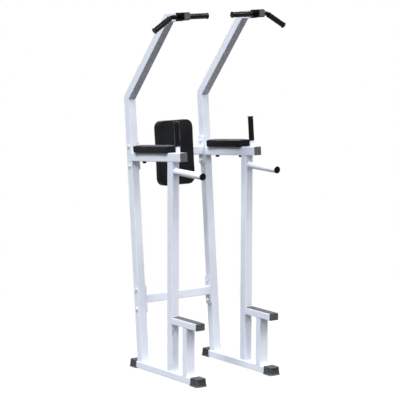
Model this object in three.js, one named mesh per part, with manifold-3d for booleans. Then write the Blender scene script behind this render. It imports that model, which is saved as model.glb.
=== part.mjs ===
// Dip station with pull-up handles: two mirror-image side frames of square steel tube, joined by
// two bolted crossbars, with vinyl pads, rubber grips, boots and end plugs.
// Units are millimetres. +Z is up, the front is -Y, X runs across, and left is the -X side.
// The origin lies on the floor under the middle of the station's box.

import * as THREE from 'three';
import { mergeVertices } from 'three/addons/utils/BufferGeometryUtils.js';
import Module from 'manifold-3d';

const wasm = await Module();
wasm.setup();

const degrees = THREE.MathUtils.degToRad;
const QUARTER_TURN = Math.PI / 2;

// Layout of the frame, measured along tube middle lines
const FRAME_SPACING = 524;
const REAR_FOOT_BACK = 306;
const REAR_LEAN = degrees(5.2);
const BEND = degrees(45);
const REAR_UPRIGHT_LENGTH = 1554;
const UPPER_ARM_LENGTH = 636;
const TOP_TUBE_LENGTH = 96;
const ARMREST_HEIGHT = 1286.5;
const ARMREST_TILT = degrees(5.7);
const ARMREST_FRONT_REACH = 103;
const LOWER_CROSSBAR_UP = 370;
const UPPER_CROSSBAR_UP = 1213;

// Main square tube, and the flat tube of the runners and steps
const TUBE = 50;
const TUBE_WALL = 2;
const TUBE_CORNER = 4;
const RUNNER_WIDTH = 60;
const RUNNER_HEIGHT = 40;
const RUNNER_WALL = 2;
const RUNNER_CORNER = 4;
const RUNNER_FRONT_BARE = 46;
const RUNNER_REAR_BARE = 2.4;
const STEP_WIDTH = 60;
const STEP_DEPTH = 40;
const STEP_WALL = 2;
const STEP_CORNER = 4;
const STEP_TOP = 364;
const STEP_REACH = 268;
const STEP_POST_FORWARD = 156;

// Clearances: between neighbours, round a bolt, and past a cut
const SEAM = 0.3;
const BOLT_CLEARANCE = 0.5;
const OVERRUN = 5;

// Rubber boots
const BOOT_SOLE = 3;
const BOOT_SIDE_WALL = 4;
const BOOT_TOP_WALL = 5;
const BOOT_END_WALL = 10;
const BOOT_GRIP = 54;
const BOOT_CORNER = 6;
const BOOT_FLARE = 3;
const BOOT_RIM_HEIGHT = 7;
const BOOT_TOP_ROUND = 3;
const BOOT_WINDOW_WIDTH = 46;
const BOOT_WINDOW_HEIGHT = 31;
const BOOT_WINDOW_DEPTH = 7;
const BOOT_WINDOW_CORNER = 3;

// Square plastic plugs: the steps' have a flange, the others sit inside the tube's mouth
const PLUG_FLANGE = 5;
const PLUG_BEVEL = 1.5;
const PLUG_INSERT = 18;
const PLUG_WALL = 3;
const PLUG_PROUD = 1;

// Step treads
const TREAD_THICKNESS = 2;
const TREAD_BEVEL = 0.6;

// Crossbar flange plates and their bolts
const PLATE_HEIGHT = 165;
const PLATE_THICKNESS = 8;
const PLATE_CORNER = 6;
const DRAIN_HOLE_RADIUS = 8;
const FLANGE_BOLT_SPACING = 114;
const BOLT_RADIUS = 5;
const BOLT_HEAD_RADIUS = 9.8;
const BOLT_HEAD_HEIGHT = 6.5;
const NUT_HEIGHT = 8;
const BOLT_TAIL = 4;
const WASHER_RADIUS = 11;
const WASHER_THICKNESS = 2;

// Arm pads
const ARM_PAD_WIDTH = 84;
const ARM_PAD_LENGTH = 336;
const ARM_PAD_BACK = 13;
const ARM_PAD_THICKNESS = 38;
const ARM_PAD_CORNER = 7;
const ARM_PAD_EDGE = 6;
const ARM_PAD_CROWN = 6;
const ARM_PAD_PULL = 1.2;
const PAD_BOLT_SPACING = 232;
const PAD_BOLT_RADIUS = 4;
const PAD_BOLT_BITE = 20;
const PAD_BOLT_CAP_RADIUS = 12;
const PAD_BOLT_CAP_HEIGHT = 11;
const PAD_BOLT_CAP_EDGE = 3;

// Back pad and its board
const BACK_PAD_WIDTH = 242;
const BACK_PAD_HEIGHT = 384;
const BACK_PAD_THICKNESS = 50;
const BACK_PAD_CORNER = 42;
const BACK_PAD_EDGE = 8;
const BACK_PAD_CROWN = 6;
const BACK_PAD_PULL = 1.5;
const BACK_PAD_RISE = 3;
const BOARD_THICKNESS = 12;
const BOARD_MARGIN = 7;
const BOARD_BOLT_SPACING = 150;

// Upright hand grips on the armrests
const POST_RADIUS = 12.7;
const POST_WALL = 2;
const POST_SETBACK = 53;
const POST_BARE_HEIGHT = 36;
const HAND_GRIP_LENGTH = 141;
const HAND_GRIP_RADIUS = 16;
const HAND_GRIP_TOP_RADIUS = 15.2;
const HAND_GRIP_FLANGE_RADIUS = 18;

// Dip handles
const DIP_HANDLE_DROP = 80;
const DIP_HANDLE_REACH = 293;
const DIP_HANDLE_RADIUS = 19;
const DIP_HANDLE_WALL = 2;
const DIP_CAP_FACE = 6;
const DIP_CAP_LIP = 1.8;
const DIP_CAP_ROUND = 4;
const DIP_END_PLATE = 6;

// Pull-up bracket, bar and grips
const BRACKET_WALL = 2.5;
const BRACKET_INSERT = 60;
const BRACKET_REACH = 80;
const BAR_RADIUS = 12.7;
const BAR_WALL = 2;
const BAR_FORWARD = 26;
const BAR_LOWERED = 1.5;
const BAR_INNER_REACH = 176;
const BAR_ELBOW_OUT = 72;
const BAR_OUTER_LENGTH = 140.5;
const BAR_DROOP = degrees(31.4);
const BAR_BEND_RADIUS = 45;
const INNER_GRIP_LENGTH = 149;
const OUTER_GRIP_LENGTH = 125;
const PULL_GRIP_RADIUS = 15.5;
const PULL_GRIP_FLANGE_RADIUS = 18.5;
const PULL_GRIP_CUFF_RADIUS = 17.3;

// Shared by all grips
const GRIP_END_THICKNESS = 4;
const GRIP_FLANGE_THICKNESS = 4;
const GRIP_CUFF_LENGTH = 5;
const GRIP_FILLET = 2;

// Fineness of the facets
const CORNER_SEGMENTS = 1;
const ROUND_SIDES = 20;
const HOLE_SIDES = 12;
const HEX_SIDES = 6;
const BAR_BEND_STEPS = 6;
const HARD_RING = { arcSteps: 2, sideSteps: 1 };
const SOFT_RING = { arcSteps: 4, sideSteps: 4 };
const EDGE_STEPS = 3;
const CROWN_STEPS = 3;
const SMALLEST_CORNER = 1;

// Heights and places that follow from the sizes above
const RUNNER_TOP = BOOT_SOLE + RUNNER_HEIGHT;
const RUNNER_FRONT_REACH = STEP_POST_FORWARD + STEP_DEPTH / 2 + RUNNER_FRONT_BARE + BOOT_GRIP;
const RUNNER_REAR_REACH = REAR_FOOT_BACK + TUBE / 2 / Math.cos(REAR_LEAN) + RUNNER_REAR_BARE + BOOT_GRIP;
const DIP_HANDLE_HEIGHT = ARMREST_HEIGHT - DIP_HANDLE_DROP;
const HALF_SPACING = FRAME_SPACING / 2;
const UPPER_ARM_SLANT = BEND - REAR_LEAN;
const MITRE_SLOPE = Math.tan(BEND / 2);
const MITRE_SEAM = SEAM / 2 / Math.cos(BEND / 2);
const TUBE_INSIDE = TUBE - 2 * TUBE_WALL;

const mainTube = { width: TUBE, height: TUBE, corner: TUBE_CORNER, wall: TUBE_WALL };
const runnerTube = { width: RUNNER_WIDTH, height: RUNNER_HEIGHT, corner: RUNNER_CORNER, wall: RUNNER_WALL };
const stepTube = { width: STEP_WIDTH, height: STEP_DEPTH, corner: STEP_CORNER, wall: STEP_WALL };
const bracketTube = {
  width: TUBE_INSIDE - 2 * SEAM,
  height: TUBE_INSIDE - 2 * SEAM,
  corner: TUBE_CORNER - TUBE_WALL,
  wall: BRACKET_WALL,
};

// Finishes

function finish(color, roughness, metalness) {
  return () => new THREE.MeshStandardMaterial({ color, roughness, metalness });
}

const whitePowderCoat = finish(0xe9ebf0, 0.35, 0.1);
const blackPowderCoat = finish(0x101012, 0.45, 0.2);
const blackVinyl = finish(0x1b1b1e, 0.55, 0);
const blackRubber = finish(0x141416, 0.7, 0);
const bootRubber = finish(0x45474b, 0.75, 0);
const greyPlastic = finish(0x5e5e5d, 0.6, 0);
const blackPlastic = finish(0x0c0c0d, 0.4, 0);
const treadGrip = finish(0x8d8f93, 0.9, 0);
const zincPlate = finish(0xc9ccd2, 0.3, 0.9);
const boardBacking = finish(0x202022, 0.8, 0);

// Joining and cutting of closed geometries

function welded(geometry) {
  const bare = geometry.clone();
  bare.deleteAttribute('normal');
  bare.deleteAttribute('uv');
  const merged = mergeVertices(bare);
  const corners = merged.index.array;
  const kept = [];
  for (let i = 0; i < corners.length; i += 3) {
    const [a, b, c] = corners.slice(i, i + 3);
    if (a !== b && b !== c && c !== a) {
      kept.push(a, b, c);
    }
  }
  merged.setIndex(kept);
  return merged;
}

function solidOf(geometry) {
  const merged = welded(geometry);
  return new wasm.Manifold(new wasm.Mesh({
    numProp: 3,
    vertProperties: merged.attributes.position.array,
    triVerts: Uint32Array.from(merged.index.array),
  }));
}

function geometryOf(solid) {
  const mesh = solid.getMesh();
  const geometry = new THREE.BufferGeometry();
  geometry.setAttribute('position', new THREE.BufferAttribute(mesh.vertProperties, 3));
  geometry.setIndex(new THREE.BufferAttribute(mesh.triVerts, 1));
  return geometry;
}

function join(first, ...others) {
  let solid = solidOf(first);
  for (const other of others) {
    solid = solid.add(solidOf(other));
  }
  return geometryOf(solid);
}

function cut(body, ...tools) {
  let solid = solidOf(body);
  for (const tool of tools) {
    solid = solid.subtract(solidOf(tool));
  }
  return geometryOf(solid);
}

// Basic shapes

function roundedShape(width, height, corner) {
  const x = width / 2 - corner;
  const y = height / 2 - corner;
  const centres = [[x, y], [-x, y], [-x, -y], [x, -y]];
  const shape = new THREE.Shape();
  centres.forEach(([cx, cy], quarter) => {
    shape.absarc(cx, cy, corner, quarter * QUARTER_TURN, (quarter + 1) * QUARTER_TURN);
  });
  shape.closePath();
  return shape;
}

function prism(shape, from, to) {
  const options = { depth: to - from, bevelEnabled: false, curveSegments: CORNER_SEGMENTS };
  return new THREE.ExtrudeGeometry(shape, options).translate(0, 0, from);
}

// A hollow tube along Z. A slope slides an end's corners along Z, in step with their Y,
// which gives that end a slanted cut.
function tube(section, from, to, fromSlope = 0, toSlope = 0) {
  const { width, height, corner, wall } = section;
  const shape = roundedShape(width, height, corner);
  const innerCorner = Math.max(corner - wall, wall / 2);
  shape.holes.push(roundedShape(width - 2 * wall, height - 2 * wall, innerCorner));
  const geometry = prism(shape, from, to);
  const position = geometry.attributes.position;
  const middle = (from + to) / 2;
  for (let i = 0; i < position.count; i += 1) {
    const slope = position.getZ(i) < middle ? fromSlope : toSlope;
    position.setZ(i, position.getZ(i) + slope * position.getY(i));
  }
  return geometry;
}

// Turns a piece made along Z so that it runs forward, with its Y upward.
function lying(geometry) {
  return geometry.rotateX(QUARTER_TURN);
}

function rod(radius, from, to, sides) {
  const cylinder = new THREE.CylinderGeometry(radius, radius, to - from, sides);
  return cylinder.rotateX(QUARTER_TURN).translate(0, 0, (from + to) / 2);
}

// Revolves pairs of radius and height about Z.
function revolve(profile, sides = ROUND_SIDES) {
  const points = profile.map(([radius, height]) => new THREE.Vector2(radius, height));
  return new THREE.LatheGeometry(points, sides).rotateX(QUARTER_TURN);
}

// Points round a rectangle with round corners, with the middle of each side pulled in.
function ring(width, length, corner, height, pull = 0, { arcSteps, sideSteps } = HARD_RING) {
  const x = width / 2 - corner;
  const y = length / 2 - corner;
  const centres = [[x, y], [-x, y], [-x, -y], [x, -y]];
  const onCorner = (quarter, angle) => {
    const [cx, cy] = centres[quarter % 4];
    return new THREE.Vector3(cx + corner * Math.cos(angle), cy + corner * Math.sin(angle), height);
  };
  const points = [];
  for (let quarter = 0; quarter < 4; quarter += 1) {
    for (let i = 0; i <= arcSteps; i += 1) {
      points.push(onCorner(quarter, (quarter + i / arcSteps) * QUARTER_TURN));
    }
    const sideAngle = (quarter + 1) * QUARTER_TURN;
    const start = onCorner(quarter, sideAngle);
    const end = onCorner(quarter + 1, sideAngle);
    const inward = new THREE.Vector3(-Math.cos(sideAngle), -Math.sin(sideAngle), 0);
    for (let i = 1; i < sideSteps; i += 1) {
      const share = i / sideSteps;
      const point = start.clone().lerp(end, share);
      points.push(point.addScaledVector(inward, pull * Math.sin(Math.PI * share)));
    }
  }
  return points;
}

// A closed skin over rings of equally many points, with a fan over each end.
function loft(rings) {
  const count = rings[0].length;
  const points = rings.flat();
  const faces = [];
  for (let level = 0; level < rings.length - 1; level += 1) {
    for (let i = 0; i < count; i += 1) {
      const a = level * count + i;
      const b = level * count + (i + 1) % count;
      faces.push(a, b, b + count, a, b + count, a + count);
    }
  }
  const middleOf = (loop) => loop.reduce((sum, p) => sum.add(p), new THREE.Vector3()).divideScalar(count);
  const bottom = points.length;
  const top = bottom + 1;
  const lastRing = (rings.length - 1) * count;
  points.push(middleOf(rings[0]), middleOf(rings[rings.length - 1]));
  for (let i = 0; i < count; i += 1) {
    const next = (i + 1) % count;
    faces.push(bottom, next, i, top, lastRing + i, lastRing + next);
  }
  const geometry = new THREE.BufferGeometry().setFromPoints(points);
  geometry.setIndex(faces);
  return geometry;
}

// Pieces that are used more than once

// The hollow part of a plug that goes inside a tube of the given section.
function plugInsert({ width, height, wall }) {
  const gap = 2 * (wall + SEAM);
  return { width: width - gap, height: height - gap, corner: SMALLEST_CORNER, wall: PLUG_WALL };
}

// A plug whose flange covers the tube's end.
function flangedPlug(section) {
  const { width, height, corner } = section;
  const flange = loft([
    ring(width, height, corner, 0),
    ring(width, height, corner, PLUG_FLANGE - PLUG_BEVEL),
    ring(width - 2 * PLUG_BEVEL, height - 2 * PLUG_BEVEL, corner, PLUG_FLANGE),
  ]);
  return join(flange, tube(plugInsert(section), -PLUG_INSERT, PLUG_FLANGE / 2));
}

// A plug that sits in the tube's mouth. The tube ends at 0.
function flushPlug(section) {
  const insert = plugInsert(section);
  const { width, height, corner } = insert;
  const face = loft([
    ring(width, height, corner, -PLUG_WALL),
    ring(width, height, corner, PLUG_PROUD - PLUG_BEVEL / 2),
    ring(width - PLUG_BEVEL, height - PLUG_BEVEL, corner, PLUG_PROUD),
  ]);
  return join(face, tube(insert, -PLUG_INSERT, -PLUG_WALL / 2));
}

// A shoe for a runner's end, which lies along Y with its outer end at +Y.
// Its origin is on the floor, under the runner's end.
function boot() {
  const width = RUNNER_WIDTH + 2 * (SEAM + BOOT_SIDE_WALL);
  const length = BOOT_GRIP + SEAM + BOOT_END_WALL;
  const middle = (BOOT_END_WALL + SEAM - BOOT_GRIP) / 2;
  const height = RUNNER_TOP + SEAM + BOOT_TOP_WALL;
  const level = (grow, z) => ring(width + 2 * grow, length + 2 * grow, BOOT_CORNER, z);
  const shell = loft([
    level(BOOT_FLARE, 0),
    level(BOOT_FLARE, BOOT_RIM_HEIGHT),
    level(BOOT_FLARE / 3, BOOT_RIM_HEIGHT + BOOT_FLARE / 2),
    level(0, height - BOOT_TOP_ROUND),
    level(-BOOT_TOP_ROUND / 2, height - BOOT_TOP_ROUND / 4),
    level(-BOOT_TOP_ROUND, height),
  ]).translate(0, middle, 0);
  const runnerAxis = BOOT_SOLE + RUNNER_HEIGHT / 2;
  const socket = roundedShape(RUNNER_WIDTH + 2 * SEAM, RUNNER_HEIGHT + 2 * SEAM, RUNNER_CORNER);
  const pocket = lying(prism(socket, -SEAM, BOOT_GRIP + BOOT_FLARE + OVERRUN)).translate(0, 0, runnerAxis);
  const opening = roundedShape(BOOT_WINDOW_WIDTH, BOOT_WINDOW_HEIGHT, BOOT_WINDOW_CORNER);
  const windowFrom = BOOT_END_WALL + SEAM - BOOT_WINDOW_DEPTH;
  const windowTo = BOOT_END_WALL + BOOT_FLARE + OVERRUN;
  const recess = lying(prism(opening, -windowTo, -windowFrom)).translate(0, 0, runnerAxis);
  return cut(shell, pocket, recess);
}

// A hexagon bolt along Z that clamps from 0 to the given length, with both washers and its nut.
function clampBolt(clamped) {
  const nutFrom = clamped + WASHER_THICKNESS;
  return join(
    rod(BOLT_HEAD_RADIUS, -WASHER_THICKNESS - BOLT_HEAD_HEIGHT, -WASHER_THICKNESS, HEX_SIDES),
    rod(WASHER_RADIUS, -WASHER_THICKNESS, 0, HOLE_SIDES),
    rod(BOLT_RADIUS, -WASHER_THICKNESS, nutFrom + NUT_HEIGHT + BOLT_TAIL, HOLE_SIDES),
    rod(WASHER_RADIUS, clamped, nutFrom, HOLE_SIDES),
    rod(BOLT_HEAD_RADIUS, nutFrom, nutFrom + NUT_HEIGHT, HEX_SIDES),
  );
}

function boltHoleAlongX(radius, reach, y, z) {
  return rod(radius, -reach, reach, HOLE_SIDES).rotateY(QUARTER_TURN).translate(0, y, z);
}

// An upholstered pad on the XY plane: boxed sides, a soft upper edge and a crowned face.
function cushion({ width, length, thickness, corner, edge, crown, pull }) {
  const level = (inset, z, slack) => {
    const radius = Math.max(corner - inset, SMALLEST_CORNER);
    return ring(width - 2 * inset, length - 2 * inset, radius, z, slack, SOFT_RING);
  };
  const rings = [
    level(edge / 2, 0, pull),
    level(edge / 8, edge / 4, pull),
    level(0, edge, pull),
    level(0, thickness - edge, pull),
  ];
  for (let i = 1; i <= EDGE_STEPS; i += 1) {
    const angle = (i / EDGE_STEPS) * QUARTER_TURN;
    rings.push(level(edge * (1 - Math.cos(angle)), thickness - edge * (1 - Math.sin(angle)), pull));
  }
  const innerInset = Math.min(width, length) / 2 - 2 * SMALLEST_CORNER;
  for (let i = 1; i <= CROWN_STEPS; i += 1) {
    const share = i / CROWN_STEPS;
    const inset = edge + (innerInset - edge) * share;
    const rise = crown * (1 - (1 - share) ** 2);
    rings.push(level(inset, thickness + rise, pull * (1 - share)));
  }
  return loft(rings);
}

// A rubber grip along Z, closed and flanged at 0 and open at its length, where it may have a cuff.
function grip({ length, radius, endRadius, flangeRadius, bore, cuffRadius = 0 }) {
  const flangeTop = GRIP_FLANGE_THICKNESS;
  const openEnd = cuffRadius > radius
    ? [[radius, length - GRIP_CUFF_LENGTH], [cuffRadius, length - GRIP_CUFF_LENGTH], [cuffRadius, length]]
    : [[radius, length]];
  return revolve([
    [0, 0],
    [flangeRadius - GRIP_FILLET / 2, 0],
    [flangeRadius, GRIP_FILLET / 2],
    [flangeRadius, flangeTop],
    [endRadius, flangeTop + GRIP_FILLET],
    ...openEnd,
    [bore, length],
    [bore, GRIP_END_THICKNESS],
    [0, GRIP_END_THICKNESS],
  ]);
}

// The middle line of the pull-up bar: straight through the bracket, then a round bend into the
// drooping outer part. Its rings crowd into the bend, so it isn't measured by arc length.
class BentBarPath extends THREE.Curve {
  constructor(side, innerEnd, outerEnd) {
    super();
    const tangentLength = BAR_BEND_RADIUS * Math.tan(BAR_DROOP / 2);
    this.side = side;
    this.start = new THREE.Vector3(-side * innerEnd, 0, 0);
    this.bendStart = new THREE.Vector3(side * (BAR_ELBOW_OUT - tangentLength), 0, 0);
    this.end = new THREE.Vector3(side * BAR_ELBOW_OUT, 0, 0).addScaledVector(this.heading(BAR_DROOP), outerEnd);
  }

  heading(angle) {
    return new THREE.Vector3(this.side * Math.cos(angle), 0, -Math.sin(angle));
  }

  onBend(angle) {
    const out = BAR_BEND_RADIUS * Math.sin(angle) * this.side;
    const down = BAR_BEND_RADIUS * (1 - Math.cos(angle));
    return this.bendStart.clone().add(new THREE.Vector3(out, 0, -down));
  }

  turned(t) {
    const step = t * (BAR_BEND_STEPS + 2) - 1;
    return (THREE.MathUtils.clamp(step, 0, BAR_BEND_STEPS) / BAR_BEND_STEPS) * BAR_DROOP;
  }

  getPoint(t) {
    const step = t * (BAR_BEND_STEPS + 2) - 1;
    if (step < 0) {
      return this.start.clone().lerp(this.bendStart, step + 1);
    }
    if (step <= BAR_BEND_STEPS) {
      return this.onBend(this.turned(t));
    }
    return this.onBend(BAR_DROOP).lerp(this.end, step - BAR_BEND_STEPS);
  }

  getPointAt(t) {
    return this.getPoint(t);
  }

  getTangentAt(t) {
    return this.heading(this.turned(t));
  }
}

// Assembly

const station = new THREE.Group();

function addPiece(parent, name, geometry, material, place = {}) {
  const flat = welded(geometry).toNonIndexed();
  flat.computeVertexNormals();
  const mesh = new THREE.Mesh(flat, material());
  const { position = [0, 0, 0], rotation = [0, 0, 0] } = place;
  mesh.name = name;
  mesh.position.set(...position);
  mesh.rotation.set(...rotation);
  parent.add(mesh);
  return mesh;
}

function turnedGroup(x, y, z, turnX) {
  const group = new THREE.Group();
  group.position.set(x, y, z);
  group.rotation.x = turnX;
  station.add(group);
  return group;
}

// Where the leaning rear upright, the upper arm and the top tube meet
const bendPoint = {
  y: REAR_FOOT_BACK + REAR_UPRIGHT_LENGTH * Math.sin(REAR_LEAN),
  z: RUNNER_TOP + REAR_UPRIGHT_LENGTH * Math.cos(REAR_LEAN),
};
const topPoint = {
  y: bendPoint.y - UPPER_ARM_LENGTH * Math.sin(UPPER_ARM_SLANT),
  z: bendPoint.z + UPPER_ARM_LENGTH * Math.cos(UPPER_ARM_SLANT),
};

// How far behind the front upright, along the armrest's middle line, the rear upright's face lies
const ARMREST_REAR_REACH = (
  Math.cos(REAR_LEAN) * REAR_FOOT_BACK
  + Math.sin(REAR_LEAN) * (ARMREST_HEIGHT - RUNNER_TOP)
  - TUBE / 2 - SEAM
) / Math.cos(REAR_LEAN - ARMREST_TILT);

const crossbarHeights = [LOWER_CROSSBAR_UP, UPPER_CROSSBAR_UP];
const boltHeights = crossbarHeights.flatMap((up) => [
  up - FLANGE_BOLT_SPACING / 2,
  up + FLANGE_BOLT_SPACING / 2,
]);
const padMiddleBack = ARM_PAD_BACK + ARM_PAD_LENGTH / 2;
const padBoltBacks = [padMiddleBack - PAD_BOLT_SPACING / 2, padMiddleBack + PAD_BOLT_SPACING / 2];

function addRunner(prefix, x) {
  const runner = lying(tube(runnerTube, -RUNNER_REAR_REACH, RUNNER_FRONT_REACH));
  const runnerAxis = BOOT_SOLE + RUNNER_HEIGHT / 2;
  addPiece(station, `${prefix}_base_runner`, runner, whitePowderCoat, { position: [x, 0, runnerAxis] });
  addPiece(station, `${prefix}_front_boot`, boot(), bootRubber, {
    position: [x, -RUNNER_FRONT_REACH, 0],
    rotation: [0, 0, Math.PI],
  });
  addPiece(station, `${prefix}_rear_boot`, boot(), bootRubber, { position: [x, RUNNER_REAR_REACH, 0] });
}

function addFrontUpright(prefix, x) {
  const from = RUNNER_TOP + SEAM;
  const to = ARMREST_HEIGHT - (TUBE / 2 + SEAM) / Math.cos(ARMREST_TILT);
  const upright = tube(mainTube, from, to, 0, -Math.tan(ARMREST_TILT));
  const reach = TUBE / 2 + OVERRUN;
  const handleHole = lying(rod(BOLT_RADIUS + BOLT_CLEARANCE, -reach, reach, HOLE_SIDES));
  handleHole.translate(0, 0, DIP_HANDLE_HEIGHT);
  addPiece(station, `${prefix}_front_upright`, cut(upright, handleHole), whitePowderCoat, {
    position: [x, 0, 0],
  });
}

function addLeaningFrame(prefix, x) {
  const rear = turnedGroup(x, REAR_FOOT_BACK, RUNNER_TOP, -REAR_LEAN);
  const footSeam = SEAM / Math.cos(REAR_LEAN);
  const upright = tube(
    mainTube,
    footSeam,
    REAR_UPRIGHT_LENGTH - MITRE_SEAM,
    Math.tan(REAR_LEAN),
    MITRE_SLOPE,
  );
  const boltHole = BOLT_RADIUS + BOLT_CLEARANCE;
  const holes = boltHeights.map((up) => boltHoleAlongX(boltHole, TUBE / 2 + OVERRUN, 0, up));
  addPiece(rear, `${prefix}_rear_upright`, cut(upright, ...holes), whitePowderCoat);

  const arm = turnedGroup(x, bendPoint.y, bendPoint.z, UPPER_ARM_SLANT);
  const upperArm = tube(mainTube, MITRE_SEAM, UPPER_ARM_LENGTH - MITRE_SEAM, -MITRE_SLOPE, MITRE_SLOPE);
  addPiece(arm, `${prefix}_upper_arm`, upperArm, whitePowderCoat);
}

function addFlangeBolts(prefix, side) {
  const rear = turnedGroup(side * HALF_SPACING, REAR_FOOT_BACK, RUNNER_TOP, -REAR_LEAN);
  const clamped = TUBE + PLATE_THICKNESS + 3 * SEAM;
  const names = ['lower_flange_bolt_1', 'lower_flange_bolt_2', 'upper_flange_bolt_1', 'upper_flange_bolt_2'];
  boltHeights.forEach((up, index) => {
    addPiece(rear, `${prefix}_${names[index]}`, clampBolt(clamped), zincPlate, {
      position: [side * (TUBE / 2 + SEAM), 0, up],
      rotation: [0, -side * QUARTER_TURN, 0],
    });
  });
}

function addArmrest(prefix, x) {
  const armrest = turnedGroup(x, 0, ARMREST_HEIGHT, -ARMREST_TILT);
  const rail = lying(tube(
    mainTube,
    -ARMREST_REAR_REACH,
    ARMREST_FRONT_REACH,
    Math.tan(ARMREST_TILT - REAR_LEAN),
    0,
  ));
  const holeRadius = PAD_BOLT_RADIUS + BOLT_CLEARANCE;
  const reach = TUBE / 2 + OVERRUN;
  const holes = padBoltBacks.map((back) => rod(holeRadius, -reach, reach, HOLE_SIDES).translate(0, back, 0));
  addPiece(armrest, `${prefix}_armrest_tube`, cut(rail, ...holes), whitePowderCoat);

  addPiece(armrest, `${prefix}_armrest_cap`, lying(flushPlug(mainTube)), greyPlastic, {
    position: [0, -ARMREST_FRONT_REACH, 0],
  });

  addArmPad(armrest, prefix);
  addHandGrip(armrest, prefix);
}

function addArmPad(armrest, prefix) {
  const seat = TUBE / 2 + SEAM;
  const pad = cushion({
    width: ARM_PAD_WIDTH,
    length: ARM_PAD_LENGTH,
    thickness: ARM_PAD_THICKNESS,
    corner: ARM_PAD_CORNER,
    edge: ARM_PAD_EDGE,
    crown: ARM_PAD_CROWN,
    pull: ARM_PAD_PULL,
  });
  const holeRadius = PAD_BOLT_RADIUS + BOLT_CLEARANCE;
  const holeTop = PAD_BOLT_BITE + SEAM;
  const holes = padBoltBacks.map((back) => (
    rod(holeRadius, -OVERRUN, holeTop, HOLE_SIDES).translate(0, back - padMiddleBack, 0)
  ));
  addPiece(armrest, `${prefix}_arm_pad`, cut(pad, ...holes), blackVinyl, {
    position: [0, padMiddleBack, seat],
  });

  padBoltBacks.forEach((back, index) => {
    addPiece(armrest, `${prefix}_arm_pad_bolt_${index + 1}`, padBolt(), blackPlastic, {
      position: [0, back, -seat],
    });
  });
}

// A bolt along Z with a round black cap below 0, long enough to bite into the pad.
function padBolt() {
  const tip = TUBE + 2 * SEAM + PAD_BOLT_BITE;
  return revolve([
    [0, -PAD_BOLT_CAP_HEIGHT],
    [PAD_BOLT_CAP_RADIUS - PAD_BOLT_CAP_EDGE, -PAD_BOLT_CAP_HEIGHT],
    [PAD_BOLT_CAP_RADIUS, PAD_BOLT_CAP_EDGE - PAD_BOLT_CAP_HEIGHT],
    [PAD_BOLT_CAP_RADIUS, 0],
    [PAD_BOLT_RADIUS, 0],
    [PAD_BOLT_RADIUS, tip],
    [0, tip],
  ], HOLE_SIDES);
}

function addHandGrip(armrest, prefix) {
  const seat = TUBE / 2 + SEAM;
  const top = seat + POST_BARE_HEIGHT + HAND_GRIP_LENGTH;
  const postTop = top - GRIP_END_THICKNESS - SEAM;
  const place = { position: [0, POST_SETBACK - ARMREST_FRONT_REACH, 0] };
  const post = revolve([
    [POST_RADIUS, seat],
    [POST_RADIUS, postTop],
    [POST_RADIUS - POST_WALL, postTop],
    [POST_RADIUS - POST_WALL, seat],
    [POST_RADIUS, seat],
  ]);
  addPiece(armrest, `${prefix}_grip_post`, post, whitePowderCoat, place);

  const handGrip = grip({
    length: HAND_GRIP_LENGTH,
    radius: HAND_GRIP_RADIUS,
    endRadius: HAND_GRIP_TOP_RADIUS,
    flangeRadius: HAND_GRIP_FLANGE_RADIUS,
    bore: POST_RADIUS + SEAM,
  });
  addPiece(armrest, `${prefix}_hand_grip`, handGrip.rotateY(Math.PI).translate(0, 0, top), blackRubber, place);
}

// The handle's end plate and its stud, which passes through the front upright, are welded to it.
function addDipHandle(prefix, x) {
  const face = TUBE / 2 + SEAM;
  const bodyTo = DIP_HANDLE_REACH - DIP_CAP_FACE - SEAM;
  const inside = DIP_HANDLE_RADIUS - DIP_HANDLE_WALL;
  const body = revolve([
    [0, -face - WASHER_THICKNESS],
    [WASHER_RADIUS, -face - WASHER_THICKNESS],
    [WASHER_RADIUS, -face],
    [BOLT_RADIUS, -face],
    [BOLT_RADIUS, face],
    [DIP_HANDLE_RADIUS, face],
    [DIP_HANDLE_RADIUS, bodyTo],
    [inside, bodyTo],
    [inside, face + DIP_END_PLATE],
    [0, face + DIP_END_PLATE],
  ]);
  const headFrom = -face - WASHER_THICKNESS - BOLT_HEAD_HEIGHT;
  const head = rod(BOLT_HEAD_RADIUS, headFrom, -face - WASHER_THICKNESS / 2, HEX_SIDES);
  const place = { position: [x, 0, DIP_HANDLE_HEIGHT] };
  addPiece(station, `${prefix}_dip_handle`, lying(join(body, head)), whitePowderCoat, place);

  const capRadius = DIP_HANDLE_RADIUS + DIP_CAP_LIP;
  const capFrom = DIP_HANDLE_REACH - DIP_CAP_FACE;
  const plugRadius = inside - SEAM;
  const cap = revolve([
    [0, capFrom - PLUG_INSERT],
    [plugRadius, capFrom - PLUG_INSERT],
    [plugRadius, capFrom],
    [capRadius, capFrom],
    [capRadius, DIP_HANDLE_REACH - DIP_CAP_ROUND],
    [capRadius - DIP_CAP_ROUND / 4, DIP_HANDLE_REACH - DIP_CAP_ROUND / 2],
    [capRadius - DIP_CAP_ROUND, DIP_HANDLE_REACH],
    [0, DIP_HANDLE_REACH],
  ]);
  addPiece(station, `${prefix}_dip_handle_cap`, lying(cap), blackPlastic, place);
}

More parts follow.
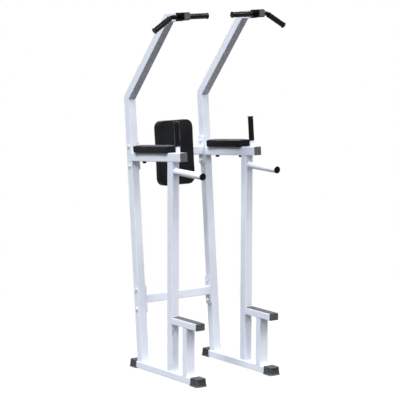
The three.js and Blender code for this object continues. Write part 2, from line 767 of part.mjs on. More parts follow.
function addStep(prefix, x) {
  const underside = STEP_TOP - STEP_DEPTH;
  const post = tube(stepTube, RUNNER_TOP + SEAM, underside - SEAM);
  addPiece(station, `${prefix}_step_post`, post, whitePowderCoat, { position: [x, -STEP_POST_FORWARD, 0] });

  const from = TUBE / 2 + SEAM;
  const beam = lying(tube(stepTube, from, STEP_REACH));
  addPiece(station, `${prefix}_step_tube`, beam, whitePowderCoat, {
    position: [x, 0, STEP_TOP - STEP_DEPTH / 2],
  });

  const treadFrom = from + TREAD_THICKNESS;
  const treadLength = STEP_REACH - treadFrom;
  const treadWidth = STEP_WIDTH - 2 * STEP_CORNER;
  const tread = loft([
    ring(treadWidth, treadLength, SMALLEST_CORNER, 0),
    ring(treadWidth, treadLength, SMALLEST_CORNER, TREAD_THICKNESS - TREAD_BEVEL),
    ring(treadWidth - 2 * TREAD_BEVEL, treadLength - 2 * TREAD_BEVEL, SMALLEST_CORNER, TREAD_THICKNESS),
  ]);
  addPiece(station, `${prefix}_step_tread`, tread, treadGrip, {
    position: [x, -(treadFrom + STEP_REACH) / 2, STEP_TOP + SEAM],
  });

  addPiece(station, `${prefix}_step_cap`, lying(flangedPlug(stepTube)), greyPlastic, {
    position: [x, -STEP_REACH - SEAM, STEP_TOP - STEP_DEPTH / 2],
  });
}

// The bar is welded into the bracket, which slides into the top tube.
function addPullUpHandle(prefix, side) {
  const top = turnedGroup(side * HALF_SPACING, topPoint.y, topPoint.z, -REAR_LEAN);
  const topTube = lying(tube(mainTube, MITRE_SEAM, TOP_TUBE_LENGTH, -MITRE_SLOPE, 0));
  addPiece(top, `${prefix}_top_tube`, topTube, whitePowderCoat);

  const bracketEnd = TOP_TUBE_LENGTH + BRACKET_REACH;
  const bracket = lying(tube(bracketTube, TOP_TUBE_LENGTH - BRACKET_INSERT, bracketEnd));
  const barMiddle = { y: -TOP_TUBE_LENGTH - BAR_FORWARD, z: -BAR_LOWERED };
  const coreEnd = GRIP_END_THICKNESS + SEAM;
  const bar = (radius, overrun) => new THREE.ExtrudeGeometry(
    new THREE.Shape().absarc(0, 0, radius, 0, 2 * Math.PI),
    {
      steps: BAR_BEND_STEPS + 2,
      extrudePath: new BentBarPath(
        side,
        BAR_INNER_REACH - coreEnd + overrun,
        BAR_OUTER_LENGTH - coreEnd + overrun,
      ),
      curveSegments: ROUND_SIDES / 2,
    },
  ).translate(0, barMiddle.y, barMiddle.z);
  const bracketAndBar = cut(join(bracket, bar(BAR_RADIUS, 0)), bar(BAR_RADIUS - BAR_WALL, OVERRUN));
  addPiece(top, `${prefix}_pull_up_bar`, bracketAndBar, blackPowderCoat);

  addPiece(top, `${prefix}_pull_up_plug`, lying(flushPlug(bracketTube)), greyPlastic, {
    position: [0, -bracketEnd, 0],
  });

  const shared = {
    radius: PULL_GRIP_RADIUS,
    endRadius: PULL_GRIP_RADIUS,
    flangeRadius: PULL_GRIP_FLANGE_RADIUS,
    bore: BAR_RADIUS + SEAM,
  };
  addPiece(top, `${prefix}_inner_grip`, grip({ ...shared, length: INNER_GRIP_LENGTH }), blackRubber, {
    position: [-side * BAR_INNER_REACH, barMiddle.y, barMiddle.z],
    rotation: [0, side * QUARTER_TURN, 0],
  });
  const outerX = side * (BAR_ELBOW_OUT + BAR_OUTER_LENGTH * Math.cos(BAR_DROOP));
  const outerGrip = grip({ ...shared, length: OUTER_GRIP_LENGTH, cuffRadius: PULL_GRIP_CUFF_RADIUS });
  addPiece(top, `${prefix}_outer_grip`, outerGrip, blackRubber, {
    position: [outerX, barMiddle.y, barMiddle.z - BAR_OUTER_LENGTH * Math.sin(BAR_DROOP)],
    rotation: [0, -side * (QUARTER_TURN - BAR_DROOP), 0],
  });
}

// A crossbar with a bolt flange plate welded on each end
function crossbar(extraHoles = []) {
  const plateInner = HALF_SPACING - TUBE / 2 - SEAM - PLATE_THICKNESS;
  const bar = tube(mainTube, -plateInner - PLATE_THICKNESS / 2, plateInner + PLATE_THICKNESS / 2);
  const plateShape = roundedShape(PLATE_HEIGHT, TUBE, PLATE_CORNER);
  const rightPlate = prism(plateShape, plateInner, plateInner + PLATE_THICKNESS);
  const leftPlate = prism(plateShape, -plateInner - PLATE_THICKNESS, -plateInner);
  const reach = HALF_SPACING;
  const drain = rod(DRAIN_HOLE_RADIUS, -reach, reach, HOLE_SIDES);
  const boltHoles = [-1, 1].map((end) => (
    rod(BOLT_RADIUS + BOLT_CLEARANCE, -reach, reach, HOLE_SIDES).translate(end * FLANGE_BOLT_SPACING / 2, 0, 0)
  ));
  const turned = cut(join(bar, leftPlate, rightPlate), drain, ...boltHoles).rotateY(QUARTER_TURN);
  return extraHoles.length > 0 ? cut(turned, ...extraHoles) : turned;
}

function addCrossbars() {
  const middle = turnedGroup(0, REAR_FOOT_BACK, RUNNER_TOP, -REAR_LEAN);
  addPiece(middle, 'lower_crossbar', crossbar(), whitePowderCoat, { position: [0, 0, LOWER_CROSSBAR_UP] });

  const reach = TUBE / 2 + OVERRUN;
  const boardBoltHoles = [-1, 1].map((end) => (
    lying(rod(PAD_BOLT_RADIUS + BOLT_CLEARANCE, -reach, reach, HOLE_SIDES))
      .translate(end * BOARD_BOLT_SPACING / 2, 0, 0)
  ));
  addPiece(middle, 'upper_crossbar', crossbar(boardBoltHoles), whitePowderCoat, {
    position: [0, 0, UPPER_CROSSBAR_UP],
  });
  addBackPad(middle);
}

// The board lies in a pocket of the cushion. Its bolts pass through the upper crossbar.
function addBackPad(middle) {
  const boardWidth = BACK_PAD_WIDTH - 2 * BOARD_MARGIN;
  const boardHeight = BACK_PAD_HEIGHT - 2 * BOARD_MARGIN;
  const boardCorner = BACK_PAD_CORNER - BOARD_MARGIN;
  const pad = cushion({
    width: BACK_PAD_WIDTH,
    length: BACK_PAD_HEIGHT,
    thickness: BACK_PAD_THICKNESS,
    corner: BACK_PAD_CORNER,
    edge: BACK_PAD_EDGE,
    crown: BACK_PAD_CROWN,
    pull: BACK_PAD_PULL,
  });
  const pocket = prism(
    roundedShape(boardWidth + 2 * SEAM, boardHeight + 2 * SEAM, boardCorner + SEAM),
    -OVERRUN,
    BOARD_THICKNESS + SEAM,
  );
  const face = TUBE / 2 + SEAM;
  const place = { position: [0, -face, UPPER_CROSSBAR_UP + BACK_PAD_RISE] };
  addPiece(middle, 'back_pad', lying(cut(pad, pocket)), blackVinyl, place);

  const headRadius = PAD_BOLT_RADIUS * 2;
  const boltBack = TUBE + 2 * SEAM;
  const bolts = [-1, 1].flatMap((end) => [
    rod(PAD_BOLT_RADIUS, -boltBack - WASHER_THICKNESS, BOARD_THICKNESS / 2, HOLE_SIDES),
    rod(WASHER_RADIUS, -boltBack - WASHER_THICKNESS, -boltBack, HOLE_SIDES),
    rod(headRadius, -boltBack - WASHER_THICKNESS - PAD_BOLT_RADIUS, -boltBack - WASHER_THICKNESS, HEX_SIDES),
  ].map((piece) => piece.translate(end * BOARD_BOLT_SPACING / 2, -BACK_PAD_RISE, 0)));
  const board = prism(roundedShape(boardWidth, boardHeight, boardCorner), 0, BOARD_THICKNESS);
  addPiece(middle, 'back_pad_board', lying(join(board, ...bolts)), boardBacking, place);
}

for (const [prefix, side] of [['left', -1], ['right', 1]]) {
  const x = side * HALF_SPACING;
  addRunner(prefix, x);
  addFrontUpright(prefix, x);
  addLeaningFrame(prefix, x);
  addPullUpHandle(prefix, side);
  addArmrest(prefix, x);
  addDipHandle(prefix, x);
  addStep(prefix, x);
  addFlangeBolts(prefix, side);
}
addCrossbars();

// Centre the station's box on the origin.
const box = new THREE.Box3().setFromObject(station);
station.position.y = -(box.min.y + box.max.y) / 2;

export default station;
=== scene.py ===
"""The dip station's looks: powder-coated tube frame, vinyl pads, rubber grips and boots, bolts."""

from math import cos, hypot, pi, radians, sin, tan

import bmesh
import bpy
from mathutils import Matrix, Vector, noise
from mathutils.bvhtree import BVHTree


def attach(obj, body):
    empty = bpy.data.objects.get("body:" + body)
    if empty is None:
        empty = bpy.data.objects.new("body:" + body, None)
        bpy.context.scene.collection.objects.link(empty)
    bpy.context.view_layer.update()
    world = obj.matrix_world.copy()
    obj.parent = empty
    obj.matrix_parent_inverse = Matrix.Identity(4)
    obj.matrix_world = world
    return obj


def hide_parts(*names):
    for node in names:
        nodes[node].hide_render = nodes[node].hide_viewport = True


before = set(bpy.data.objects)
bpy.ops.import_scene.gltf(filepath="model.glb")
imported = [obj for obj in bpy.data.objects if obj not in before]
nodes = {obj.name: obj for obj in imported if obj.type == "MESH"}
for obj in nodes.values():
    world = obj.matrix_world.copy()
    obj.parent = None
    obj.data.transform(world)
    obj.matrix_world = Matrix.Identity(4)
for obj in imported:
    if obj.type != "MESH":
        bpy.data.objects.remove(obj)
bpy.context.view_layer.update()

SIDES = {"left": -1, "right": 1}
QUARTER_TURN = pi / 2
UP = Vector((0, 0, 1))
IN_PLACE = Matrix.Identity(4)

# Angles of the leaning members, from the vertical or the level
REAR_LEAN = radians(5.2)
BEND = radians(45)
UPPER_ARM_SLANT = BEND - REAR_LEAN
ARMREST_TILT = radians(5.7)
BAR_DROOP = radians(31.4)

# Layout, in metres
HALF_SPACING = 0.262
REAR_FOOT_BACK = 0.306
REAR_UPRIGHT_LENGTH = 1.554
UPPER_ARM_LENGTH = 0.636
TOP_TUBE_LENGTH = 0.096
ARMREST_HEIGHT = 1.2865
ARMREST_FRONT_REACH = 0.103
LOWER_CROSSBAR_UP = 0.370
UPPER_CROSSBAR_UP = 1.213
STEP_POST_FORWARD = 0.156
STEP_TOP = 0.364
STEP_REACH = 0.268

# Tubes
TUBE = 0.050
TUBE_WALL = 0.002
TUBE_CORNER = 0.004
RUNNER_WIDTH = 0.060
RUNNER_HEIGHT = 0.040
RUNNER_FRONT_BARE = 0.046
RUNNER_REAR_BARE = 0.0024
STEP_WIDTH = 0.060
STEP_DEPTH = 0.040
SEAM = 0.0003
SEAT = TUBE / 2 + SEAM
TUBE_TURNS = {
    "base_runner": QUARTER_TURN,
    "front_upright": 0,
    "rear_upright": -REAR_LEAN,
    "upper_arm": UPPER_ARM_SLANT,
    "top_tube": QUARTER_TURN - REAR_LEAN,
    "armrest_tube": QUARTER_TURN - ARMREST_TILT,
    "step_post": 0,
    "step_tube": QUARTER_TURN,
}

# Boots
BOOT_SOLE = 0.003
BOOT_SIDE_WALL = 0.004
BOOT_TOP_WALL = 0.005
BOOT_END_WALL = 0.010
BOOT_CORNER = 0.006
BOOT_CORNER_LOSS = 0.002
BOOT_SOLE_EDGE = 0.0012
BOOT_FLARE = 0.003
BOOT_FLARE_RISE = 0.004
BOOT_FLARE_CURVE = 1.6
BOOT_RIM_HEIGHT = 0.007
BOOT_RIM_EDGE = 0.001
BOOT_TOP_ROUND = 0.003
BOOT_SOFT_EDGE = 0.002
BOOT_SIDE_DRAFT = 0.001
BOOT_END_DRAFT = 0.004
REAR_BOOT_GRIP = 0.054
FRONT_BOOT_GRIP = 0.059
BOOT_PANEL = {"half_width": 0.026, "half_height": 0.0155, "corner": 0.003}
BOOT_PANEL_DEPTH = 0.006
CUT_OVERRUN = 0.01

# Weld beads and the hairline seams of the mitres, with the ripples as shares of a bead's thickness
WELD = 0.0044
POST_WELD = 0.0034
BAR_WELD = 0.0036
MITRE_SEAM = 0.0011
RIPPLE_SPACING = 0.42
RIPPLE_LENGTH = 0.95

# Plugs, treads and plates
PLUG_FLANGE = 0.005
PLUG_PROUD = 0.001
PLUG_SHY = 0.0005
PLUG_START = 0.0001
PLUG_EDGE = 0.0008
PLUG_RIM = 0.0035
PLUG_SUNK = 0.0006
TREAD_THICKNESS = 0.002
TREAD_GRIT_HEIGHT = 0.0005
TREAD_CORNER = 0.002
TREAD_EDGE = 0.0003
TREAD_MARGIN = 0.0006
TREAD_GRAINS = {"Density": 110000.0, "Smallest": 0.00035, "Largest": 0.0007}
PLATE_HEIGHT = 0.165
PLATE_THICKNESS = 0.008
PLATE_CORNER = 0.006
PLATE_EDGE = 0.0007

# Bolts, with the chamfer and the thread's root and point as shares of a radius
FLANGE_BOLT_SPACING = 0.114
BOLT_RADIUS = 0.005
BOLT_ACROSS = 0.017
BOLT_HEAD_HEIGHT = 0.0065
NUT_HEIGHT = 0.008
BOLT_TAIL = 0.004
WASHER_RADIUS = 0.011
WASHER_THICKNESS = 0.002
WASHER_EDGE = 0.0004
HEX_CHAMFER = 0.96
THREAD_PITCH = 0.0015
THREAD_ROOT = 0.89
THREAD_POINT = 0.86

# Pads
ARM_PAD = {"width": 0.084, "length": 0.343, "thickness": 0.038, "corner": 0.013, "crown": 0.007}
ARM_PAD_BACK = 0.013
ARM_PAD_HEM = 0.016
ARM_PAD_HEM_CORNER = 0.003
PAD_BOLTS_BACK = 0.181
PAD_BOLT_SPACING = 0.232
PAD_BOLT_CAP_RADIUS = 0.012
PAD_BOLT_CAP_HEIGHT = 0.013
PAD_BOLT_CAP_SIDE = 0.5
PAD_BOLT_CAP_CURVE = 0.7
BACK_PAD = {"width": 0.245, "length": 0.384, "thickness": 0.053, "corner": 0.042, "crown": 0.006}
BACK_PAD_RISE = 0.003
BACK_PAD_LOWERED = 0.001
BOARD = {"width": 0.228, "length": 0.370, "corner": 0.035}
BOARD_THICKNESS = 0.012
BOARD_EDGE = 0.0008
BOARD_HEM = 0.012
BOARD_BOLT_SPACING = 0.150
BOARD_BOLT_ACROSS = 0.0135
BOARD_BOLT_HEIGHT = 0.004
PAD_FILL = 0.9
SEAM_CORD_RADIUS = 0.0012
STITCH = {"Spacing": 0.0055, "Length": 0.0043, "Thickness": 0.0009}
STAPLE = {"Spacing": 0.03, "Length": 0.009, "Thickness": 0.0006}

# Round members and grips
ROUND_WALL = 0.002
POST_RADIUS = 0.0127
POST_SETBACK = 0.053
POST_BARE_HEIGHT = 0.036
HAND_GRIP = {"length": 0.141, "radius": 0.016, "end_radius": 0.0152, "flange_radius": 0.018}
PULL_GRIP = {"radius": 0.0155, "end_radius": 0.0155, "flange_radius": 0.0185}
INNER_GRIP_LENGTH = 0.149
OUTER_GRIP_LENGTH = 0.125
OUTER_GRIP_CUFF_RADIUS = 0.0173
GRIP_FLANGE = 0.004
GRIP_FLANGE_EDGE = 0.0004
GRIP_NECK_FROM = 0.002
GRIP_NECK_TO = 0.006
GRIP_CUFF = 0.005
GRIP_GROOVE = 0.0006
GRIP_GROOVE_HALF = 0.0007
GRIP_GROOVES_IN = (0.0065, 0.009)
GRIP_EASE = 0.0012
RIB_RADIUS = 0.00055
RIB_SUNK = 0.0002
RIB_SHORTER = 0.034
RIB_SHIFT = 0.001
RIB_COUNT = 36
DIP_HANDLE_HEIGHT = 1.2065
DIP_HANDLE_REACH = 0.293
DIP_HANDLE_RADIUS = 0.019
DIP_HANDLE_PLATE = 0.006
DIP_HANDLE_EDGE = 0.0006
DIP_CAP_FACE = 0.006
DIP_CAP_LIP = 0.0018
DIP_CAP_INSERT = 0.018
DIP_CAP_ROUND = 0.0045
DIP_CAP_RIM = 0.0025
DIP_CAP_DOME = 0.003
BRACKET_SIDE = 0.0454
BRACKET_WALL = 0.0025
BRACKET_CORNER = 0.0025
BRACKET_INSERT = 0.060
BRACKET_REACH = 0.080
BRACKET_NOSE = 0.0395
BRACKET_NOSE_LENGTH = 0.0095
BRACKET_SHOULDER = 0.003
BAR_RADIUS = 0.0127
BAR_FORWARD = 0.026
BAR_LOWERED = 0.0015
BAR_INNER_REACH = 0.176
BAR_ELBOW_OUT = 0.072
BAR_OUTER_LENGTH = 0.1405
BAR_BEND_RADIUS = 0.045

# How finely curved skins are divided, and where smooth shading breaks
CORNER_STEPS = 5
ROUND_SIDES = 56
SHANK_SIDES = 24
WASHER_SIDES = 40
HEX_POINTS = 48
ROUND_LINE_POINTS = 40
SHARP_ANGLE = radians(38)
BOLT_SHARP_ANGLE = radians(25)
WELD_SHARP_ANGLE = radians(70)
THREAD_SHARP_ANGLE = radians(80)

# The pads' covers: how much the shell shrinks, the cloth simulation and the creases
PAD_INSET = 0.0008
PAD_EDGE = 0.002
PAD_DRAWN_IN = 0.0012
PAD_VOXEL = 0.004
HELD_HEIGHT = 0.002
SWELL_FRAMES = 20
SWELL_PRESSURE = 4.0
SEED_STEPS = (3.7, 1.9, 5.3)
CREASE_REACH = 0.02
FINE_CREASE = {"scale": 55, "height": 0.0003}
WIDE_CREASE = {"scale": 14, "height": 0.00025}

# The studio
WHITE = (1, 1, 1)
COOL_WHITE = (0.90, 0.945, 1.0)
SKY = (0.93, 0.96, 1.0)
SKY_STRENGTH = 0.10
FLOOR_HALF = 30
FLOOR_MATT = {"low": 1.0, "high": 2.6, "to_low": 0.10, "to_high": 0}
FLOOR_BOUNCE = {"low": 0.5, "high": 1.6, "to_low": 0.18, "to_high": 0.04}
LAMP_TARGET = Vector((0, 0, 1))
SOFTBOXES = {
    "front_softbox": ((0, -14.8, 18.6), 7.0, 2950, WHITE),
    "right_softbox": ((12, -8.5, 17.8), 3.5, 2000, WHITE),
    "left_softbox": ((-11, -1.5, 20), 4.0, 3600, COOL_WHITE),
    "left_front_softbox": ((-11.5, -11.5, 16.2), 4.5, 1900, COOL_WHITE),
    "left_back_softbox": ((-13.5, 6.4, 16), 4.5, 1150, COOL_WHITE),
    "back_softbox": ((9, 15.7, 13.4), 6.4, 1500, WHITE),
}
CAMERA_LENS = 195.9
CAMERA_RIGHT = (0.81402, -0.58083, 0.00363)
CAMERA_UP = (0.08273, 0.12212, 0.98906)
CAMERA_BACK = (-0.57492, -0.80481, 0.14746)
CAMERA_FROM_FRAME = Vector((-7.2838, -10.0927, 2.8737))


# Places

def box_of(points):
    """The lowest and highest corners of a box round the points."""
    return [Vector(pick(p[i] for p in points) for i in range(3)) for pick in (min, max)]


def node_points(name, turn=0):
    """A CAD node's points, turned back about X."""
    back = Matrix.Rotation(-turn, 3, "X")
    return [back @ v.co for v in nodes[name].data.vertices]


FRAME_Y = sum(corner.y for corner in box_of(node_points("left_front_upright"))) / 2
RUNNER_TOP = BOOT_SOLE + RUNNER_HEIGHT
RUNNER_AXIS = BOOT_SOLE + RUNNER_HEIGHT / 2
TOP_BACK = (
    REAR_FOOT_BACK + REAR_UPRIGHT_LENGTH * sin(REAR_LEAN) - UPPER_ARM_LENGTH * sin(UPPER_ARM_SLANT)
)
TOP_UP = RUNNER_TOP + REAR_UPRIGHT_LENGTH * cos(REAR_LEAN) + UPPER_ARM_LENGTH * cos(UPPER_ARM_SLANT)


def moved(x=0.0, y=0.0, z=0.0):
    return Matrix.Translation((x, y, z))


def turned(angle, axis):
    return Matrix.Rotation(angle, 4, axis)


def axes(x, back, up, turn=0.0):
    """Axes that start behind and above the front upright's foot, turned about X."""
    return moved(x, FRAME_Y + back, up) @ turned(turn, "X")


def rear_axes(x):
    return axes(x, REAR_FOOT_BACK, RUNNER_TOP, -REAR_LEAN)


def armrest_axes(x):
    return axes(x, 0, ARMREST_HEIGHT, -ARMREST_TILT)


def top_axes(x):
    return axes(x, TOP_BACK, TOP_UP, -REAR_LEAN)


# A piece made along Z then runs forward, with its Y upward
FORWARD = turned(QUARTER_TURN, "X")


# Node trees

def feed(tree, socket, value):
    """Sets an input to a value, or links another node's output to it."""
    if isinstance(value, bpy.types.NodeSocket):
        tree.links.new(value, socket)
    else:
        socket.default_value = value


def wired(tree, kind, inputs=None, **settings):
    """The outputs of a new node, with its settings made and its inputs fed."""
    node = tree.nodes.new(kind)
    for name, value in settings.items():
        setattr(node, name, value)
    for name, value in (inputs or {}).items():
        feed(tree, node.inputs[name], value)
    return node.outputs


def noise_pattern(tree, coords, scale, detail=3.0, roughness=0.5):
    inputs = {"Vector": coords, "Scale": scale, "Detail": detail, "Roughness": roughness}
    return wired(tree, "ShaderNodeTexNoise", inputs)["Fac"]


def cell_pattern(tree, coords, scale, feature="F1"):
    inputs = {"Vector": coords, "Scale": scale}
    return wired(tree, "ShaderNodeTexVoronoi", inputs, feature=feature)["Distance"]


def remap(tree, value, low, high, to_low=0, to_high=1):
    inputs = {"Value": value, "From Min": low, "From Max": high, "To Min": to_low, "To Max": to_high}
    return wired(tree, "ShaderNodeMapRange", inputs, interpolation_type="SMOOTHSTEP")["Result"]


def combine(tree, operation, first, second):
    return wired(tree, "ShaderNodeMath", {0: first, 1: second}, operation=operation)["Value"]


def blend(tree, factor, first, second):
    """A colour between two others, which the mix node takes as its inputs 6 and 7."""
    inputs = {"Factor": factor, 6: (*first, 1), 7: (*second, 1)}
    return wired(tree, "ShaderNodeMix", inputs, data_type="RGBA")[2]


def relief(tree, height, distance, strength=1.0):
    inputs = {"Height": height, "Distance": distance, "Strength": strength}
    return wired(tree, "ShaderNodeBump", inputs)["Normal"]


def worn_and_lit_edges(tree):
    """Near 1 along convex edges and 0 elsewhere: where rubber wears lighter, and partly a painted highlight
    on the edges.
    """
    return remap(tree, wired(tree, "ShaderNodeNewGeometry")["Pointiness"], 0.518, 0.566)


# Materials: each function gives the shader's inputs, from patterns on object coordinates

def powder_coat(tree, coords, color, shade, roughness, peel, gloss=0.5, coat=0.15):
    """Baked powder paint: a faint orange peel, soft blotches and a few dull scuffs."""
    blotches = noise_pattern(tree, coords, 14, 4)
    scuffs = remap(tree, noise_pattern(tree, coords, 55, 8, 0.7), 0.56, 0.72, 0, 0.18)
    return {
        "Base Color": blend(tree, remap(tree, blotches, 0.35, 0.65), color, shade),
        "Roughness": combine(tree, "ADD", scuffs, roughness),
        "Specular IOR Level": gloss,
        "Coat Weight": coat,
        "Coat Roughness": 0.25,
        "Normal": relief(tree, noise_pattern(tree, coords, 520, 2, 0.4), peel),
    }


def vinyl(tree, coords):
    """Black upholstery vinyl: pebbled grain with fine creases, a little gloss on the grain's tops."""
    cells = cell_pattern(tree, coords, 620, "SMOOTH_F1")
    creases = noise_pattern(tree, coords, 1500, 3)
    grain = combine(tree, "ADD", combine(tree, "MULTIPLY", cells, -0.8), creases)
    wide = remap(tree, noise_pattern(tree, coords, 9, 3), 0.3, 0.7)
    return {
        "Base Color": blend(tree, wide, (0.0085, 0.0088, 0.0108), (0.0130, 0.0134, 0.0158)),
        "Roughness": remap(tree, cells, 0.0, 0.7, 0.36, 0.50),
        "Specular IOR Level": 0.055,
        "Sheen Weight": 0.01,
        "Sheen Roughness": 0.4,
        "Normal": relief(tree, grain, 0.0001, 0.8),
    }


def rubber(tree, coords, color, lighter_tone, roughness, grain_scale, depth, gloss=0.3):
    """Moulded rubber: matt, finely grained, greyer where edges rub; the lighter convex edges are partly wear
    and partly a painted highlight.
    """
    dust = remap(tree, noise_pattern(tree, coords, 32, 6, 0.65), 0.45, 0.75, 0, 0.45)
    # Dust patches and convex edges take the lighter tone: dust and wear, with the edges partly a painted
    # highlight
    wear_and_highlight = combine(tree, "MAXIMUM", worn_and_lit_edges(tree), dust)
    return {
        "Base Color": blend(tree, wear_and_highlight, color, lighter_tone),
        "Roughness": remap(tree, dust, 0, 0.45, roughness, roughness + 0.15),
        "Specular IOR Level": gloss,
        "Normal": relief(tree, noise_pattern(tree, coords, grain_scale, 4, 0.6), depth),
    }


def moulded_plastic(tree, coords, color, lighter_tone, roughness, gloss):
    """Moulded plastic with a fine spark-eroded texture."""
    haze = noise_pattern(tree, coords, 40, 4)
    return {
        "Base Color": blend(tree, remap(tree, haze, 0.35, 0.7), color, lighter_tone),
        "Roughness": remap(tree, haze, 0.3, 0.7, roughness, roughness + 0.12),
        "Specular IOR Level": gloss,
        "Normal": relief(tree, noise_pattern(tree, coords, 1300, 2), 0.00004),
    }


def anti_slip(tree, coords):
    """Grey anti-slip strip: sharp grit bound in matt resin, with darker specks between the grains."""
    grains = combine(tree, "MULTIPLY", cell_pattern(tree, coords, 900), -1.0)
    specks = noise_pattern(tree, coords, 700, 5, 0.7)
    tones = remap(tree, specks, 0.38, 0.62)
    return {
        "Base Color": blend(tree, tones, (0.050, 0.052, 0.056), (0.125, 0.128, 0.135)),
        "Roughness": 0.92,
        "Normal": relief(tree, combine(tree, "ADD", grains, specks), 0.00018),
    }


def zinc(tree, coords):
    """Bright zinc plate on turned and forged steel, with a faint passivation tint."""
    tint = remap(tree, noise_pattern(tree, coords, 120, 3), 0.35, 0.65)
    return {
        "Base Color": blend(tree, tint, (0.66, 0.67, 0.70), (0.74, 0.73, 0.70)),
        "Metallic": 1.0,
        "Roughness": remap(tree, noise_pattern(tree, coords, 700, 4), 0.3, 0.7, 0.24, 0.42),
        "Normal": relief(tree, noise_pattern(tree, coords, 1600, 2), 0.00006),
    }


def staple_wire(tree, coords):
    """Dull galvanised wire."""
    bloom = noise_pattern(tree, coords, 300, 4)
    return {
        "Base Color": blend(tree, remap(tree, bloom, 0.3, 0.7), (0.20, 0.20, 0.21), (0.30, 0.30, 0.31)),
        "Metallic": 1.0,
        "Roughness": remap(tree, bloom, 0.3, 0.7, 0.45, 0.6),
        "Normal": relief(tree, noise_pattern(tree, coords, 1400, 2), 0.00003),
    }


def backing_cloth(tree, coords):
    """Black backing cloth over plywood: a plain weave."""
    threads = []
    for direction in ("X", "Z"):
        inputs = {"Vector": coords, "Scale": 220, "Distortion": 0.6}
        threads.append(wired(tree, "ShaderNodeTexWave", inputs, bands_direction=direction)["Fac"])
    weave = combine(tree, "MULTIPLY", *threads)
    return {
        "Base Color": blend(tree, remap(tree, weave, 0, 0.8), (0.010, 0.010, 0.011), (0.030, 0.030, 0.032)),
        "Roughness": 0.9,
        "Normal": relief(tree, weave, 0.0003),
    }


FINISHES = {
    "white_powder_coat": (powder_coat, (0.795, 0.82, 0.895), (0.775, 0.80, 0.88), 0.34, 0.00004),
    "black_powder_coat": (
        powder_coat, (0.002, 0.002, 0.0025), (0.004, 0.004, 0.0045), 0.28, 0.00005, 0.045, 0.0
    ),
    "black_vinyl": (vinyl,),
    "black_rubber": (rubber, (0.0018, 0.0018, 0.0024), (0.0036, 0.0036, 0.0046), 0.20, 900, 0.00002, 0.13),
    # The boots' lighter edge tone on their rims is partly wear and partly a painted highlight
    "boot_rubber": (rubber, (0.049, 0.053, 0.061), (0.170, 0.174, 0.184), 0.55, 650, 0.0001, 0.06),
    "grey_plastic": (moulded_plastic, (0.080, 0.080, 0.082), (0.092, 0.092, 0.094), 0.5, 0.25),
    "step_cap_plastic": (moulded_plastic, (0.070, 0.070, 0.070), (0.082, 0.082, 0.082), 0.5, 0.25),
    "black_thread": (rubber, (0.007, 0.007, 0.008), (0.013, 0.013, 0.015), 0.5, 1400, 0.00004),
    "black_plastic": (moulded_plastic, (0.0035, 0.0035, 0.004), (0.006, 0.006, 0.007), 0.42, 0.05),
    "tread_grip": (anti_slip,),
    "zinc_plate": (zinc,),
    "staple_wire": (staple_wire,),
    "board_backing": (backing_cloth,),
}


def make_material(name, surface, *values):
    material = bpy.data.materials.new(name)
    material.use_nodes = True
    tree = material.node_tree
    coords = wired(tree, "ShaderNodeTexCoord")["Object"]
    shader = tree.nodes["Principled BSDF"]
    for socket, value in surface(tree, coords, *values).items():
        feed(tree, shader.inputs[socket], value)
    return material


materials = {name: make_material(name, *recipe) for name, recipe in FINISHES.items()}


# Meshes

def circle(radius, height, count):
    """Points round the Z axis."""
    angles = [2 * pi * i / count for i in range(count)]
    return [Vector((radius * cos(angle), radius * sin(angle), height)) for angle in angles]


def skin(bm, first, second):
    """Faces between two rings of equally many vertices, or between a ring and a single one."""
    count = max(len(first), len(second))
    for i in range(count):
        j = (i + 1) % count
        if len(first) == 1:
            bm.faces.new((first[0], second[j], second[i]))
        elif len(second) == 1:
            bm.faces.new((first[i], first[j], second[0]))
        else:
            bm.faces.new((first[i], first[j], second[j], second[i]))


def skins(bm, rings, closed=False, capped=False):
    """Faces from each ring to the next, and from the last to the first or over both ends."""
    for first, second in zip(rings, rings[1:]):
        skin(bm, first, second)
    if closed:
        skin(bm, rings[-1], rings[0])
    elif capped:
        bm.faces.new(rings[0])
        bm.faces.new(rings[-1])
    return bm


def lathe(bm, profile, place, closed=False, sides=ROUND_SIDES):
    """A skin round the place's Z axis through pairs of radius and height."""
    rings = []
    for radius, height in profile:
        points = circle(radius, height, sides if radius else 1)
        rings.append([bm.verts.new(place @ point) for point in points])
    return skins(bm, rings, closed)


def eased(profile, reach, steps=3):
    """The profile with each inner corner rounded over the given reach."""
    points = [profile[0]]
    for before, corner, after in zip(profile, profile[1:], profile[2:]):
        before, corner, after = Vector(before), Vector(corner), Vector(after)
        back, ahead = before - corner, after - corner
        start = corner + back.normalized() * min(reach, back.length / 2.1)
        end = corner + ahead.normalized() * min(reach, ahead.length / 2.1)
        for i in range(steps + 1):
            t = i / steps
            point = start * (1 - t) ** 2 + corner * 2 * t * (1 - t) + end * t ** 2
            points.append((point.x, point.y))
    points.append(profile[-1])
    return points


def quarter_round(steps):
    """Pairs of how far in and how far up a round edge runs, as shares of its radius."""
    angles = [i / steps * QUARTER_TURN for i in range(steps + 1)]
    return [(1 - cos(angle), sin(angle)) for angle in angles]


def rounded_loop(half_width, half_height, corner, steps=CORNER_STEPS, pull=0.0, side_steps=1):
    """Points round a rectangle with round corners, its sides pulled in at the middle, as pairs."""
    signs = ((1, 1), (-1, 1), (-1, -1), (1, -1))

    def arc_point(quarter, turns):
        x_sign, y_sign = signs[quarter % 4]
        angle = turns * QUARTER_TURN
        x = x_sign * (half_width - corner) + corner * cos(angle)
        return x, y_sign * (half_height - corner) + corner * sin(angle)

    points = []
    for quarter in range(4):
        points += [arc_point(quarter, quarter + i / steps) for i in range(steps + 1)]
        start = Vector(points[-1])
        end = Vector(arc_point(quarter + 1, quarter + 1))
        angle = (quarter + 1) * QUARTER_TURN
        inward = Vector((-cos(angle), -sin(angle)))
        for i in range(1, side_steps):
            share = i / side_steps
            points.append(tuple(start.lerp(end, share) + inward * pull * sin(pi * share)))
    return points


def stack(bm, levels, place, closed=False):
    """A skin through loops of pairs at heights, with a flat face over each open end."""
    rings = []
    for loop, height in levels:
        rings.append([bm.verts.new(place @ Vector((x, y, height))) for x, y in loop])
    return skins(bm, rings, closed, capped=True)


